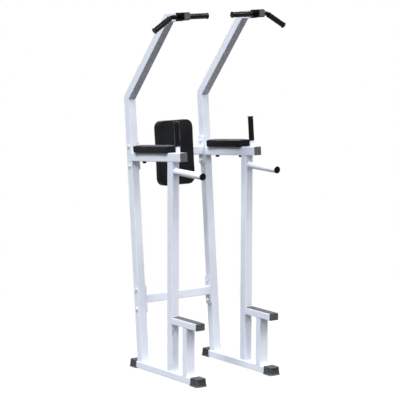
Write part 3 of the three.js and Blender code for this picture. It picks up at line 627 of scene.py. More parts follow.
def block(bm, width, height, corner, bottom, top, edge, place):
    """A rounded block between two heights, with all its edges eased."""
    step = edge * 0.3
    lower = ((edge, bottom), (step, bottom + step), (0, bottom + edge))
    upper = ((0, top - edge), (step, top - step), (edge, top))
    levels = []
    for inset, level in lower + upper:
        loop = rounded_loop(width / 2 - inset, height / 2 - inset, max(corner - inset, edge))
        levels.append((loop, level))
    return stack(bm, levels, place)


def sweep(bm, path, radius, sides, side_axis, closed=False):
    """A round cord along a path whose bends lie across the side axis."""
    rings = []
    count = len(path)
    for i, point in enumerate(path):
        if closed:
            ahead = path[(i + 1) % count] - path[i - 1]
        else:
            ahead = path[min(i + 1, count - 1)] - path[max(i - 1, 0)]
        across = side_axis.cross(ahead).normalized()
        other = ahead.cross(across).normalized()
        ring = []
        for k in range(sides):
            angle = 2 * pi * k / sides
            ring.append(bm.verts.new(point + radius * (cos(angle) * across + sin(angle) * other)))
        rings.append(ring)
    return skins(bm, rings, closed, capped=True)


def lines_mesh(lines):
    """A mesh of bare edges along lines, each a pair of its points and whether it closes."""
    verts = []
    edges = []
    for points, closes in lines:
        first = len(verts)
        verts += points
        edges += [(first + i, first + i + 1) for i in range(len(points) - 1)]
        if closes:
            edges.append((len(verts) - 1, first))
    mesh = bpy.data.meshes.new("lines")
    mesh.from_pydata(verts, edges, [])
    return mesh


def mesh_of(bm, name, outward=True):
    """Closes a bmesh into a mesh, whose faces point outwards."""
    if outward:
        bmesh.ops.recalc_face_normals(bm, faces=bm.faces)
    mesh = bpy.data.meshes.new(name)
    bm.to_mesh(mesh)
    bm.free()
    return mesh


def in_scene(name, mesh):
    piece = bpy.data.objects.new(name, mesh)
    bpy.context.scene.collection.objects.link(piece)
    return piece


def modified(piece, name, kind, **settings):
    """A new modifier on the piece, with its settings made."""
    modifier = piece.modifiers.new(name, kind)
    for setting, value in settings.items():
        setattr(modifier, setting, value)
    return modifier


def finished_mesh(piece):
    """The piece's mesh with its modifiers applied. The piece itself goes."""
    bpy.context.view_layer.update()
    graph = bpy.context.evaluated_depsgraph_get()
    mesh = bpy.data.meshes.new_from_object(piece.evaluated_get(graph))
    bpy.data.objects.remove(piece)
    return mesh


def carved(name, body, *tools):
    """The body less each tool, all given as meshes."""
    piece = in_scene(name, body)
    cutters = [in_scene("cutter", tool) for tool in tools]
    for cutter in cutters:
        modified(piece, "cut", "BOOLEAN", operation="DIFFERENCE", solver="EXACT", object=cutter)
    mesh = finished_mesh(piece)
    for cutter in cutters:
        bpy.data.objects.remove(cutter)
    return mesh


def softened(name, mesh, width, angle):
    """The mesh with the edges sharper than the angle rounded over."""
    piece = in_scene(name, mesh)
    modified(piece, "rounding", "BEVEL", width=width, segments=2, limit_method="ANGLE", angle_limit=angle)
    return finished_mesh(piece)


def together(name, *meshes):
    bm = bmesh.new()
    for mesh in meshes:
        bm.from_mesh(mesh)
    return mesh_of(bm, name, outward=False)


def mark_sharp(mesh, angle):
    """Smooth shading, broken where the surface turns by more than the angle."""
    bm = bmesh.new()
    bm.from_mesh(mesh)
    for face in bm.faces:
        face.smooth = True
    for edge in bm.edges:
        edge.smooth = len(edge.link_faces) == 2 and edge.calc_face_angle(0) < angle
    bm.to_mesh(mesh)
    bm.free()


def add_piece(name, mesh, finish, *replaced, place=IN_PLACE, weighted=False, slot=None, sharp=SHARP_ANGLE):
    """Puts a finished mesh on the object, in place of the CAD nodes that it stands for."""
    if isinstance(mesh, bmesh.types.BMesh):
        mesh = mesh_of(mesh, name)
    mesh.transform(place)
    mark_sharp(mesh, sharp)
    piece = in_scene(name, mesh)
    mesh.materials.clear()
    mesh.materials.append(materials[finish])
    if weighted:
        modified(piece, "flat faces stay flat", "WEIGHTED_NORMAL", keep_sharp=True)
    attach(piece, "root")
    if replaced:
        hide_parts(*replaced)
    return piece


def dress(node, mesh, finish, **options):
    """Puts a skin of the node's own name in its place."""
    add_piece(f"{node}_skin", mesh, finish, node, **options)


# What repeats, grown by geometry nodes

def new_tree(name, numbers, counts=()):
    """A geometry tree and its inputs, which are named for its sizes, counts and finish."""
    tree = bpy.data.node_groups.new(name, "GeometryNodeTree")
    tree.interface.new_socket("Geometry", in_out="OUTPUT", socket_type="NodeSocketGeometry")
    kinds = {"Geometry": "Geometry"}
    kinds.update({size: "Float" for size in numbers})
    kinds.update({count: "Int" for count in counts})
    kinds["Finish"] = "Material"
    for label, kind in kinds.items():
        tree.interface.new_socket(label, in_out="INPUT", socket_type=f"NodeSocket{kind}")
    return tree, wired(tree, "NodeGroupInput")


def close_tree(tree, given, instances):
    """Ends a tree in realized instances with the finish set."""
    real = wired(tree, "GeometryNodeRealizeInstances", {"Geometry": instances})["Geometry"]
    inputs = {"Geometry": real, "Material": given["Finish"]}
    finished = wired(tree, "GeometryNodeSetMaterial", inputs)["Geometry"]
    wired(tree, "NodeGroupOutput", {"Geometry": finished})
    return tree


def laid(tree, points, instance, **more):
    inputs = {"Points": points, "Instance": instance, **more}
    return wired(tree, "GeometryNodeInstanceOnPoints", inputs)["Instances"]


def beads_tree(name, square=False):
    """Short beads, round or square, laid end to end along the lines of a mesh."""
    tree, given = new_tree(name, ("Spacing", "Length", "Thickness"))
    curve = wired(tree, "GeometryNodeMeshToCurve", {"Mesh": given["Geometry"]})["Curve"]
    inputs = {"Curve": curve, "Length": given["Spacing"]}
    spaced = wired(tree, "GeometryNodeResampleCurve", inputs, mode="LENGTH")["Curve"]
    inputs = {"Vector": wired(tree, "GeometryNodeInputTangent")["Tangent"]}
    along = wired(tree, "FunctionNodeAlignRotationToVector", inputs, axis="Z")["Rotation"]
    inputs = {"X": given["Thickness"], "Y": given["Thickness"], "Z": given["Length"]}
    size = wired(tree, "ShaderNodeCombineXYZ", inputs)["Vector"]
    if square:
        bead = wired(tree, "GeometryNodeMeshCube")["Mesh"]
    else:
        bead = wired(tree, "GeometryNodeMeshUVSphere", {"Segments": 8, "Rings": 5, "Radius": 0.5})["Mesh"]
    return close_tree(tree, given, laid(tree, spaced, bead, Rotation=along, Scale=size))


def ribs_tree(name):
    """Slim lengthwise ribs round the Z axis, as on a moulded grip."""
    tree, given = new_tree(name, ("Radius", "Rib radius", "Length", "Middle"), ("Count",))
    inputs = {"Vertices": given["Count"], "Radius": given["Radius"]}
    starts = wired(tree, "GeometryNodeMeshCircle", inputs)["Mesh"]
    inputs = {"Vertices": 6, "Side Segments": 1, "Radius": given["Rib radius"], "Depth": given["Length"]}
    rib = wired(tree, "GeometryNodeMeshCylinder", inputs)["Mesh"]
    height = wired(tree, "ShaderNodeCombineXYZ", {"Z": given["Middle"]})["Vector"]
    lifted = wired(tree, "GeometryNodeTransform", {"Geometry": rib, "Translation": height})["Geometry"]
    return close_tree(tree, given, laid(tree, starts, lifted))


def grit_tree(name):
    """Sharp grains strewn over a face, between two sizes, the random node's inputs 2 and 3."""
    tree, given = new_tree(name, ("Density", "Smallest", "Largest"), ("Seed",))
    inputs = {"Mesh": given["Geometry"], "Density": given["Density"], "Seed": given["Seed"]}
    strewn = wired(tree, "GeometryNodeDistributePointsOnFaces", inputs)
    grain = wired(tree, "GeometryNodeMeshIcoSphere", {"Subdivisions": 1, "Radius": 1.0})["Mesh"]
    inputs = {2: given["Smallest"], 3: given["Largest"], "Seed": given["Seed"]}
    size = wired(tree, "FunctionNodeRandomValue", inputs, data_type="FLOAT")[1]
    grains = laid(tree, strewn["Points"], grain, Rotation=strewn["Rotation"], Scale=size)
    return close_tree(tree, given, grains)


def grown(tree, mesh, finish, **values):
    """The mesh that a tree grows from another, with its named inputs set."""
    piece = in_scene(tree.name, mesh)
    growth = modified(piece, tree.name, "NODES", node_group=tree)
    values["Finish"] = materials[finish]
    for item in tree.interface.items_tree:
        if item.in_out == "INPUT" and item.name in values:
            growth[item.identifier] = values[item.name]
    return finished_mesh(piece)


ripples = beads_tree("weld ripples")
stitches = beads_tree("stitches")
staples = beads_tree("staples", square=True)
grip_ribs = ribs_tree("grip ribs")
grit = grit_tree("tread grit")


def weld(name, lines, thickness=WELD, finish="white_powder_coat"):
    """A painted weld bead whose ripples follow the lines."""
    sizes = {"Spacing": thickness * RIPPLE_SPACING, "Length": thickness * RIPPLE_LENGTH}
    mesh = grown(ripples, lines_mesh(lines), finish, **sizes, Thickness=thickness)
    add_piece(name, mesh, finish, sharp=WELD_SHARP_ANGLE)


def tube_outline(place, slope=0.0):
    """A closed line round a square tube's end, which may be slanted."""
    loop = rounded_loop(TUBE / 2, TUBE / 2, TUBE_CORNER)
    return [([place @ Vector((x, y, slope * y)) for x, y in loop], True)]


def both_faces(half_x, half_y, place, slope=0.0):
    """Two open lines across a tube's end, on its two faces along Y."""
    return [
        ([place @ Vector((x, y, slope * y)) for x in (-half_x, half_x)], False)
        for y in (-half_y, half_y)
    ]


def round_line(radius, place, level=0.0):
    return [place @ point for point in circle(radius, level, ROUND_LINE_POINTS)], True


# Steel frame

def tube_member(name, turn):
    """A hollow tube in place of a CAD node, with the node's size, place and slanted ends."""
    ahead = Matrix.Rotation(turn, 3, "X")
    points = node_points(name, turn)
    low, high = box_of(points)
    centre = (low + high) / 2
    half = (high - low) / 2

    def end(pick, side_y):
        return pick(p.z for p in points if abs(p.y - side_y) < TUBE_CORNER / 4)

    bm = bmesh.new()

    def ring(inset, pick):
        near, far = end(pick, low.y), end(pick, high.y)
        verts = []
        corner = max(TUBE_CORNER - inset, TUBE_WALL / 2)
        for x, y in rounded_loop(half.x - inset, half.y - inset, corner):
            z = near + (far - near) * (y + half.y) / (2 * half.y)
            verts.append(bm.verts.new(ahead @ Vector((centre.x + x, centre.y + y, z))))
        return verts

    skins(bm, [ring(0, min), ring(0, max), ring(TUBE_WALL, max), ring(TUBE_WALL, min)], closed=True)
    dress(name, bm, "white_powder_coat", weighted=True)


def frame_welds(side, x):
    half = TUBE / 2
    flat = half - TUBE_CORNER
    rear = rear_axes(x)
    weld(f"{side}_front_foot_weld", tube_outline(axes(x, 0, RUNNER_TOP)))
    weld(f"{side}_rear_foot_weld", tube_outline(rear, tan(REAR_LEAN)))
    armrest_under = armrest_axes(x) @ moved(z=-SEAT)
    weld(f"{side}_armrest_front_weld", both_faces(flat, half, armrest_under @ turned(ARMREST_TILT, "X")))

    rear_face = (
        cos(REAR_LEAN) * REAR_FOOT_BACK
        + sin(REAR_LEAN) * (ARMREST_HEIGHT - RUNNER_TOP)
        - SEAT
    )
    reach = rear_face / cos(REAR_LEAN - ARMREST_TILT)
    armrest_rear = armrest_axes(x) @ FORWARD @ moved(z=-reach)
    slope = tan(ARMREST_TILT - REAR_LEAN)
    weld(f"{side}_armrest_rear_weld", both_faces(flat, half, armrest_rear, slope))

    mitre = tan(BEND / 2)
    bend = rear @ moved(z=REAR_UPRIGHT_LENGTH)
    weld(f"{side}_bend_seam", tube_outline(bend, mitre), MITRE_SEAM)
    weld(f"{side}_top_seam", tube_outline(top_axes(x) @ FORWARD, -mitre), MITRE_SEAM)

    lines = []
    for level in (RUNNER_TOP, STEP_TOP - STEP_DEPTH):
        lines += both_faces(STEP_WIDTH / 2 - TUBE_CORNER, STEP_DEPTH / 2, axes(x, -STEP_POST_FORWARD, level))
    weld(f"{side}_step_post_weld", lines)
    step = axes(x, -half, STEP_TOP - STEP_DEPTH / 2) @ FORWARD
    weld(f"{side}_step_weld", both_faces(flat, STEP_DEPTH / 2, step))
    post_foot = armrest_axes(x) @ moved(y=POST_SETBACK - ARMREST_FRONT_REACH, z=SEAT)
    weld(f"{side}_grip_post_weld", [round_line(POST_RADIUS, post_foot)], POST_WELD)


def crossbar(name, up):
    """The bar between the side frames, with a bolt flange plate welded on each end."""
    run = rear_axes(0) @ moved(z=up) @ turned(QUARTER_TURN, "Y")
    inner = HALF_SPACING - SEAT - PLATE_THICKNESS
    bm = bmesh.new()
    loop = rounded_loop(TUBE / 2, TUBE / 2, TUBE_CORNER)
    stack(bm, [(loop, -inner), (loop, inner)], run)
    for bottom in (inner, -inner - PLATE_THICKNESS):
        block(bm, PLATE_HEIGHT, TUBE, PLATE_CORNER, bottom, bottom + PLATE_THICKNESS, PLATE_EDGE, run)
    dress(name, bm, "white_powder_coat", weighted=True)
    reach = TUBE / 2 - TUBE_CORNER
    lines = []
    for end in (-inner, inner):
        for x in (-TUBE / 2, TUBE / 2):
            lines.append(([run @ Vector((x, y, end)) for y in (-reach, reach)], False))
    weld(f"{name}_weld", lines)


# Bolts

def hex_block(bm, across, bottom, top, place, chamfer_bottom=False):
    """A hexagon head or nut, with its corners turned off at 30 degrees."""
    sixth = pi / 3
    flat = across / 2
    start = flat * HEX_CHAMFER
    corners = []
    for i in range(HEX_POINTS):
        angle = 2 * pi * i / HEX_POINTS
        corners.append((angle, flat / cos((angle + sixth / 2) % sixth - sixth / 2)))

    def ring(level, inward, limit=None):
        verts = []
        for angle, radius in corners:
            reach = min(radius, limit) if limit else radius
            drop = max(radius - start, 0) * tan(sixth / 2) if inward else 0
            point = Vector((reach * cos(angle), reach * sin(angle), level - inward * drop))
            verts.append(bm.verts.new(place @ point))
        return verts

    foot = [ring(bottom, 0, start), ring(bottom, -1)] if chamfer_bottom else [ring(bottom, 0)]
    skins(bm, foot + [ring(top, 1), ring(top, 0, start)], capped=True)


def threaded_rod(bm, bottom, top, place):
    """A bolt's threaded end, with a pointed run-out at the top."""
    profile = [(0, bottom), (BOLT_RADIUS, bottom)]
    level = bottom + THREAD_PITCH / 2
    while level < top - THREAD_PITCH:
        profile += [(BOLT_RADIUS * THREAD_ROOT, level), (BOLT_RADIUS, level + THREAD_PITCH / 2)]
        level += THREAD_PITCH
    profile += [(BOLT_RADIUS * THREAD_POINT, top), (0, top)]
    lathe(bm, profile, place, sides=SHANK_SIDES)


def rod(radius, bottom, top):
    """The profile of a plain round rod."""
    return [(0, bottom), (radius, bottom), (radius, top), (0, top)]


def washer(bm, bottom, top, place):
    profile = eased(rod(WASHER_RADIUS, bottom, top), WASHER_EDGE, 2)
    lathe(bm, profile, place, sides=WASHER_SIDES)


def bolt_head(bm, place, across=BOLT_ACROSS, height=BOLT_HEAD_HEIGHT):
    """A hexagon head on its washer, below the place's 0."""
    head = place @ turned(pi, "X")
    washer(bm, 0, WASHER_THICKNESS, head)
    hex_block(bm, across, WASHER_THICKNESS, WASHER_THICKNESS + height, head)
    return bm


def clamp_bolt(node, place, clamped):
    """A flange bolt with both washers and its nut. The head is below 0."""
    bm = bolt_head(bmesh.new(), place)
    nut_from = clamped + WASHER_THICKNESS
    washer(bm, clamped, nut_from, place)
    hex_block(bm, BOLT_ACROSS, nut_from, nut_from + NUT_HEIGHT, place, chamfer_bottom=True)
    threaded_rod(bm, nut_from - THREAD_PITCH, nut_from + NUT_HEIGHT + BOLT_TAIL, place)
    lathe(bm, rod(BOLT_RADIUS, -WASHER_THICKNESS, nut_from), place, sides=SHANK_SIDES)
    dress(node, bm, "zinc_plate", sharp=BOLT_SHARP_ANGLE)


def flange_bolts(side, way):
    clamped = TUBE + PLATE_THICKNESS + 3 * SEAM
    for level, up in (("lower", LOWER_CROSSBAR_UP), ("upper", UPPER_CROSSBAR_UP)):
        for number, end in ((1, -1), (2, 1)):
            spot = moved(x=way * SEAT, z=up + end * FLANGE_BOLT_SPACING / 2)
            place = rear_axes(way * HALF_SPACING) @ spot @ turned(-way * QUARTER_TURN, "Y")
            clamp_bolt(f"{side}_{level}_flange_bolt_{number}", place, clamped)


def pad_bolts(side, x):
    """Round black caps under the armrest, whose bolts hold the arm pad."""
    radius, height, side_share = PAD_BOLT_CAP_RADIUS, PAD_BOLT_CAP_HEIGHT, PAD_BOLT_CAP_SIDE
    profile = [(0, 0), (radius, 0), (radius, height * side_share)]
    for inward, rise in quarter_round(8)[1:-1]:
        level = height * (side_share + (1 - side_share) * rise)
        profile.append((radius * (1 - inward) ** PAD_BOLT_CAP_CURVE, level))
    profile.append((0, height))
    for number, end in ((1, -1), (2, 1)):
        back = PAD_BOLTS_BACK + end * PAD_BOLT_SPACING / 2
        place = armrest_axes(x) @ moved(y=back, z=-SEAT) @ turned(pi, "X")
        dress(f"{side}_arm_pad_bolt_{number}", lathe(bmesh.new(), profile, place), "black_plastic")


# Plastic and rubber fittings

def plug(node, place, width, height, corner, bottom, top, finish="grey_plastic"):
    """A moulded plug with an eased rim and a shallow sunk panel."""
    levels = [
        (rounded_loop(width / 2 - inset, height / 2 - inset, corner * share), top - down)
        for inset, share, down in (
            (0, 1, top - bottom),
            (0, 1, PLUG_EDGE),
            (PLUG_EDGE * 0.25, 1, PLUG_EDGE * 0.375),
            (PLUG_EDGE, 1, 0),
            (PLUG_RIM, 0.8, 0),
            (PLUG_RIM + PLUG_SUNK, 0.7, PLUG_SUNK),
        )
    ]
    dress(node, stack(bmesh.new(), levels, place), finish, weighted=True, slot="grey_plastic")


def plugs(side, x):
    cover = TUBE - 2 * PLUG_SHY
    place = armrest_axes(x) @ FORWARD @ moved(z=ARMREST_FRONT_REACH)
    plug(f"{side}_armrest_cap", place, cover, cover, TUBE_CORNER, PLUG_START, PLUG_PROUD)
    place = axes(x, -STEP_REACH - SEAM, STEP_TOP - STEP_DEPTH / 2) @ FORWARD
    plug(f"{side}_step_cap", place, STEP_WIDTH, STEP_DEPTH, TUBE_CORNER, 0, PLUG_FLANGE, "step_cap_plastic")
    cover = BRACKET_NOSE - 2 * PLUG_SHY
    place = top_axes(x) @ FORWARD @ moved(z=TOP_TUBE_LENGTH + BRACKET_REACH)
    plug(f"{side}_pull_up_plug", place, cover, cover, BRACKET_CORNER, PLUG_START, PLUG_PROUD)


def boot(node, place, grip):
    """A rubber shoe over a runner's end, with a sunk panel in its outer face. Its outer end is at +Y."""
    width = RUNNER_WIDTH + 2 * (SEAM + BOOT_SIDE_WALL)
    length = grip + SEAM + BOOT_END_WALL
    height = RUNNER_TOP + SEAM + BOOT_TOP_WALL

    def level(grow, z, rise=0.0):
        half_x = width / 2 + grow - BOOT_SIDE_DRAFT * rise
        half_y = length / 2 + grow - BOOT_END_DRAFT * rise / 2
        loop = rounded_loop(half_x, half_y, BOOT_CORNER + max(grow, -BOOT_CORNER_LOSS))
        return [(x, y - BOOT_END_DRAFT * rise / 2) for x, y in loop], z

    levels = [
        level(BOOT_FLARE - BOOT_SOLE_EDGE, 0),
        level(BOOT_FLARE, BOOT_SOLE_EDGE),
        level(BOOT_FLARE, BOOT_RIM_HEIGHT - BOOT_RIM_EDGE),
    ]
    for share in (0.25, 0.5, 0.75, 1):
        grow = BOOT_FLARE * (1 - share) ** BOOT_FLARE_CURVE
        levels.append(level(grow, BOOT_RIM_HEIGHT + BOOT_FLARE_RISE * share))
    for inward, rise in quarter_round(4):
        levels.append(level(-BOOT_TOP_ROUND * inward, height - BOOT_TOP_ROUND * (1 - rise), 1.0))
    shell = stack(bmesh.new(), levels, moved(y=(BOOT_END_WALL + SEAM - grip) / 2))

    lying = moved(z=RUNNER_AXIS) @ FORWARD
    loop = rounded_loop(RUNNER_WIDTH / 2 + SEAM, RUNNER_HEIGHT / 2 + SEAM, TUBE_CORNER)
    socket = stack(bmesh.new(), [(loop, -SEAM), (loop, grip + CUT_OVERRUN)], lying)
    loop = rounded_loop(*BOOT_PANEL.values())
    outer = -BOOT_END_WALL - SEAM
    panel = stack(bmesh.new(), [(loop, outer - CUT_OVERRUN), (loop, outer + BOOT_PANEL_DEPTH)], lying)
    mesh = carved(node, mesh_of(shell, node), mesh_of(socket, "socket"), mesh_of(panel, "panel"))
    mesh = softened(node, mesh, BOOT_SOFT_EDGE, radians(50))
    dress(node, mesh, "boot_rubber", place=place)


def boots(side, x):
    front = STEP_POST_FORWARD + STEP_DEPTH / 2 + RUNNER_FRONT_BARE + REAR_BOOT_GRIP
    rear = REAR_FOOT_BACK + TUBE / 2 / cos(REAR_LEAN) + RUNNER_REAR_BARE + REAR_BOOT_GRIP
    boot(f"{side}_front_boot", axes(x, -front, 0) @ turned(pi, "Z"), FRONT_BOOT_GRIP)
    boot(f"{side}_rear_boot", axes(x, rear, 0), REAR_BOOT_GRIP)


def grip_body(length, radius, end_radius, flange_radius, bore, cuff_radius=0.0):
    """A moulded grip along Z, closed and flanged at 0 and open at its length."""
    profile = [(0, 0), (flange_radius * 0.6, 0), (flange_radius, GRIP_FLANGE_EDGE)]
    profile += [(flange_radius, GRIP_FLANGE), (end_radius, GRIP_FLANGE + GRIP_NECK_FROM)]
    profile.append((end_radius, GRIP_FLANGE + GRIP_NECK_TO))
    for start in (GRIP_FLANGE + GRIP_GROOVES_IN[0], length - GRIP_GROOVES_IN[1]):
        here = end_radius + (radius - end_radius) * (start / length)
        middle, end = start + GRIP_GROOVE_HALF, start + 2 * GRIP_GROOVE_HALF
        profile += [(here, start), (here - GRIP_GROOVE, middle), (here, end)]
    if cuff_radius:
        profile += [(radius, length - GRIP_CUFF), (cuff_radius, length - GRIP_CUFF), (cuff_radius, length)]
    else:
        profile.append((radius, length))
    profile += [(bore, length), (bore, GRIP_FLANGE), (0, GRIP_FLANGE)]
    body = mesh_of(lathe(bmesh.new(), eased(profile, GRIP_EASE), IN_PLACE), "grip")
    ribs = grown(grip_ribs, bpy.data.meshes.new("grip"), "black_rubber", **{
        "Radius": min(radius, end_radius) - RIB_SUNK,
        "Rib radius": RIB_RADIUS,
        "Length": length - RIB_SHORTER,
        "Middle": length / 2 + RIB_SHIFT,
        "Count": RIB_COUNT,
    })
    return together("grip", body, ribs)


def hand_grip(side, x):
    top = SEAT + POST_BARE_HEIGHT + HAND_GRIP["length"]
    place = armrest_axes(x) @ moved(y=POST_SETBACK - ARMREST_FRONT_REACH)
    post_top = top - GRIP_FLANGE - SEAM
    inside = POST_RADIUS - ROUND_WALL
    profile = [(POST_RADIUS, SEAT), (POST_RADIUS, post_top), (inside, post_top), (inside, SEAT)]
    dress(f"{side}_grip_post", lathe(bmesh.new(), profile, place, closed=True), "white_powder_coat")
    mesh = grip_body(**HAND_GRIP, bore=POST_RADIUS + SEAM)
    dress(f"{side}_hand_grip", mesh, "black_rubber", place=place @ moved(z=top) @ turned(pi, "Y"))


def dip_handle(side, x):
    place = axes(x, 0, DIP_HANDLE_HEIGHT) @ FORWARD
    face = DIP_HANDLE_REACH - DIP_CAP_FACE
    inside = DIP_HANDLE_RADIUS - ROUND_WALL
    profile = [(0, SEAT), (DIP_HANDLE_RADIUS, SEAT), (DIP_HANDLE_RADIUS, face - SEAM), (inside, face - SEAM)]
    profile += [(inside, SEAT + DIP_HANDLE_PLATE), (0, SEAT + DIP_HANDLE_PLATE)]
    profile = eased(profile, DIP_HANDLE_EDGE, 2)
    dress(f"{side}_dip_handle", lathe(bmesh.new(), profile, place), "white_powder_coat")
    head = bolt_head(bmesh.new(), place @ moved(z=-SEAT))
    add_piece(f"{side}_dip_handle_bolt", head, "zinc_plate", f"{side}_dip_handle", sharp=BOLT_SHARP_ANGLE)

    radius = DIP_HANDLE_RADIUS + DIP_CAP_LIP
    inside -= SEAM
    profile = [(0, face - DIP_CAP_INSERT), (inside, face - DIP_CAP_INSERT), (inside, face), (radius, face)]
    for inward, rise in quarter_round(7):
        profile.append((radius - DIP_CAP_ROUND * inward, face + DIP_CAP_RIM + DIP_CAP_DOME * rise))
    profile += [(radius * 0.4, DIP_HANDLE_REACH - 0.0001), (0, DIP_HANDLE_REACH)]
    dress(f"{side}_dip_handle_cap", lathe(bmesh.new(), profile, place), "black_plastic")


def bar_path(way, inner_end, outer_end):
    """The pull-up bar's middle line: level, then round a bend into the drooping outer part."""
    bend_start = BAR_ELBOW_OUT - BAR_BEND_RADIUS * tan(BAR_DROOP / 2)
    points = [Vector((-way * inner_end, 0, 0))]
    steps = 14
    for i in range(steps + 1):
        angle = i / steps * BAR_DROOP
        out = bend_start + BAR_BEND_RADIUS * sin(angle)
        points.append(Vector((way * out, 0, -BAR_BEND_RADIUS * (1 - cos(angle)))))
    end = BAR_ELBOW_OUT + outer_end * cos(BAR_DROOP)
    points.append(Vector((way * end, 0, -outer_end * sin(BAR_DROOP))))
    return points


def bracket(node, name, place):
    """The square sleeve on the top tube, with its narrower nose."""
    inner_corner = 0.001

    def square(side, corner):
        return rounded_loop(side / 2, side / 2, corner)

    outer = square(BRACKET_SIDE, BRACKET_CORNER)
    nose = square(BRACKET_NOSE, BRACKET_CORNER)
    inner = square(BRACKET_SIDE - 2 * BRACKET_WALL, inner_corner)
    bore = square(BRACKET_NOSE - 2 * BRACKET_WALL, inner_corner)
    start, end = TOP_TUBE_LENGTH - BRACKET_INSERT, TOP_TUBE_LENGTH + BRACKET_REACH
    shoulder = end - BRACKET_NOSE_LENGTH
    slope = shoulder - BRACKET_SHOULDER
    levels = [(outer, start), (outer, slope), (nose, shoulder), (nose, end)]
    levels += [(bore, end), (bore, shoulder), (inner, slope), (inner, start)]
    add_piece(name, stack(bmesh.new(), levels, place @ FORWARD, closed=True), "black_powder_coat", node,
              weighted=True)


def pull_up_handle(side, way):
    place = top_axes(way * HALF_SPACING)
    node = f"{side}_pull_up_bar"
    bracket(node, f"{side}_bracket_skin", place)

    bar = place @ moved(y=-TOP_TUBE_LENGTH - BAR_FORWARD, z=-BAR_LOWERED)
    ends = (BAR_INNER_REACH - GRIP_FLANGE - SEAM, BAR_OUTER_LENGTH - GRIP_FLANGE - SEAM)
    bm = sweep(bmesh.new(), bar_path(way, *ends), BAR_RADIUS, ROUND_SIDES, Vector((0, 1, 0)))
    dress(node, bm, "black_powder_coat", place=bar)
    across = bar @ turned(QUARTER_TURN, "Y")
    lines = [round_line(BAR_RADIUS, across, level) for level in (-BRACKET_SIDE / 2, BRACKET_SIDE / 2)]
    weld(f"{node}_weld", lines, BAR_WELD, "black_powder_coat")

    bore = BAR_RADIUS + SEAM
    spot = bar @ moved(x=-way * BAR_INNER_REACH) @ turned(way * QUARTER_TURN, "Y")
    mesh = grip_body(INNER_GRIP_LENGTH, **PULL_GRIP, bore=bore)
    dress(f"{side}_inner_grip", mesh, "black_rubber", place=spot)
    out = way * (BAR_ELBOW_OUT + BAR_OUTER_LENGTH * cos(BAR_DROOP))
    spot = bar @ moved(x=out, z=-BAR_OUTER_LENGTH * sin(BAR_DROOP))
    spot = spot @ turned(-way * (QUARTER_TURN - BAR_DROOP), "Y")
    mesh = grip_body(OUTER_GRIP_LENGTH, **PULL_GRIP, bore=bore, cuff_radius=OUTER_GRIP_CUFF_RADIUS)
    dress(f"{side}_outer_grip", mesh, "black_rubber", place=spot)


def tread(side, x):
    """The anti-slip strip on a step: a thin backing with grit bound on its top."""
    start = SEAT + TREAD_THICKNESS
    length = STEP_REACH - start
    width = STEP_WIDTH - 2 * TUBE_CORNER
    top = TREAD_THICKNESS - TREAD_GRIT_HEIGHT
    slab = mesh_of(block(bmesh.new(), width, length, TREAD_CORNER, 0, top, TREAD_EDGE, IN_PLACE), "tread")
    bm = bmesh.new()
    loop = rounded_loop(width / 2 - TREAD_MARGIN, length / 2 - TREAD_MARGIN, TREAD_CORNER - 0.0005)
    bm.faces.new([bm.verts.new((x, y, top)) for x, y in loop])
    bed = mesh_of(bm, "tread bed", outward=False)
    grains = grown(grit, bed, "tread_grip", **TREAD_GRAINS, Seed=SIDES[side] + 2)
    place = axes(x, -(start + STEP_REACH) / 2, STEP_TOP + SEAM)
    dress(f"{side}_step_tread", together("tread", slab, grains), "tread_grip", place=place)


# Upholstery

def pad_shell(width, length, thickness, corner, crown, bottom):
    """A boxed pad on the XY plane: sides that draw in a little, an eased edge and a crowned face."""
    inset, edge = PAD_INSET, PAD_EDGE
    least_corner = 0.0015
    flat_middle = 0.003

    def level(step, z, slack):
        half_x, half_y = width / 2 - step, length / 2 - step
        return rounded_loop(half_x, half_y, max(corner - step, least_corner), 6, PAD_DRAWN_IN * slack, 12), z

    levels = [level(inset + edge / 2, bottom, 1), level(inset, bottom + edge / 2, 1)]
    top = thickness - inset
    for inward, rise in quarter_round(4):
        levels.append(level(inset + edge * inward, top - edge * (1 - rise), 1))
    reach = min(width, length) / 2 - flat_middle
    for i in range(1, 7):
        share = i / 6
        levels.append(level(edge + (reach - edge) * share, top + crown * (1 - (1 - share) ** 2), 1 - share))
    return mesh_of(stack(bmesh.new(), levels, IN_PLACE), "pad")


def remeshed(mesh):
    piece = in_scene("pad", mesh)
    modified(piece, "voxels", "REMESH", mode="VOXEL", voxel_size=PAD_VOXEL, use_smooth_shade=True)
    return finished_mesh(piece)


def rim_gaps(point, width, length, thickness, corner):
    """How far a point lies inside the pad's plan, and how far below its top edge."""
    past_x = abs(point.x) - (width / 2 - corner)
    past_y = abs(point.y) - (length / 2 - corner)
    outside = hypot(max(past_x, 0), max(past_y, 0)) + min(max(past_x, past_y), 0)
    return corner - outside, thickness - point.z


def pad_with_held(mesh, held):
    """The mesh in the scene, with some of its points in a group."""
    piece = in_scene("pad", mesh)
    piece.vertex_groups.new(name="held").add(held, 1.0, "REPLACE")
    return piece


def swollen(mesh, held, most):
    """The mesh as cloth under inner pressure, with some points held and none moved further than most."""
    starts = [v.co.copy() for v in mesh.vertices]
    piece = pad_with_held(mesh, held)
    cloth = piece.modifiers.new("cloth", "CLOTH")
    cloth.settings.use_pressure = True
    cloth.settings.uniform_pressure_force = SWELL_PRESSURE
    cloth.settings.vertex_group_mass = "held"
    cloth.settings.effector_weights.gravity = 0
    cloth.point_cache.frame_start = 1
    cloth.point_cache.frame_end = SWELL_FRAMES
    for number in range(1, SWELL_FRAMES + 1):
        bpy.context.scene.frame_set(number)
    done = finished_mesh(piece)
    bpy.context.scene.frame_set(1)
    for vertex, start in zip(done.vertices, starts):
        step = vertex.co - start
        if step.length > most:
            vertex.co = start + step.normalized() * most
    return done


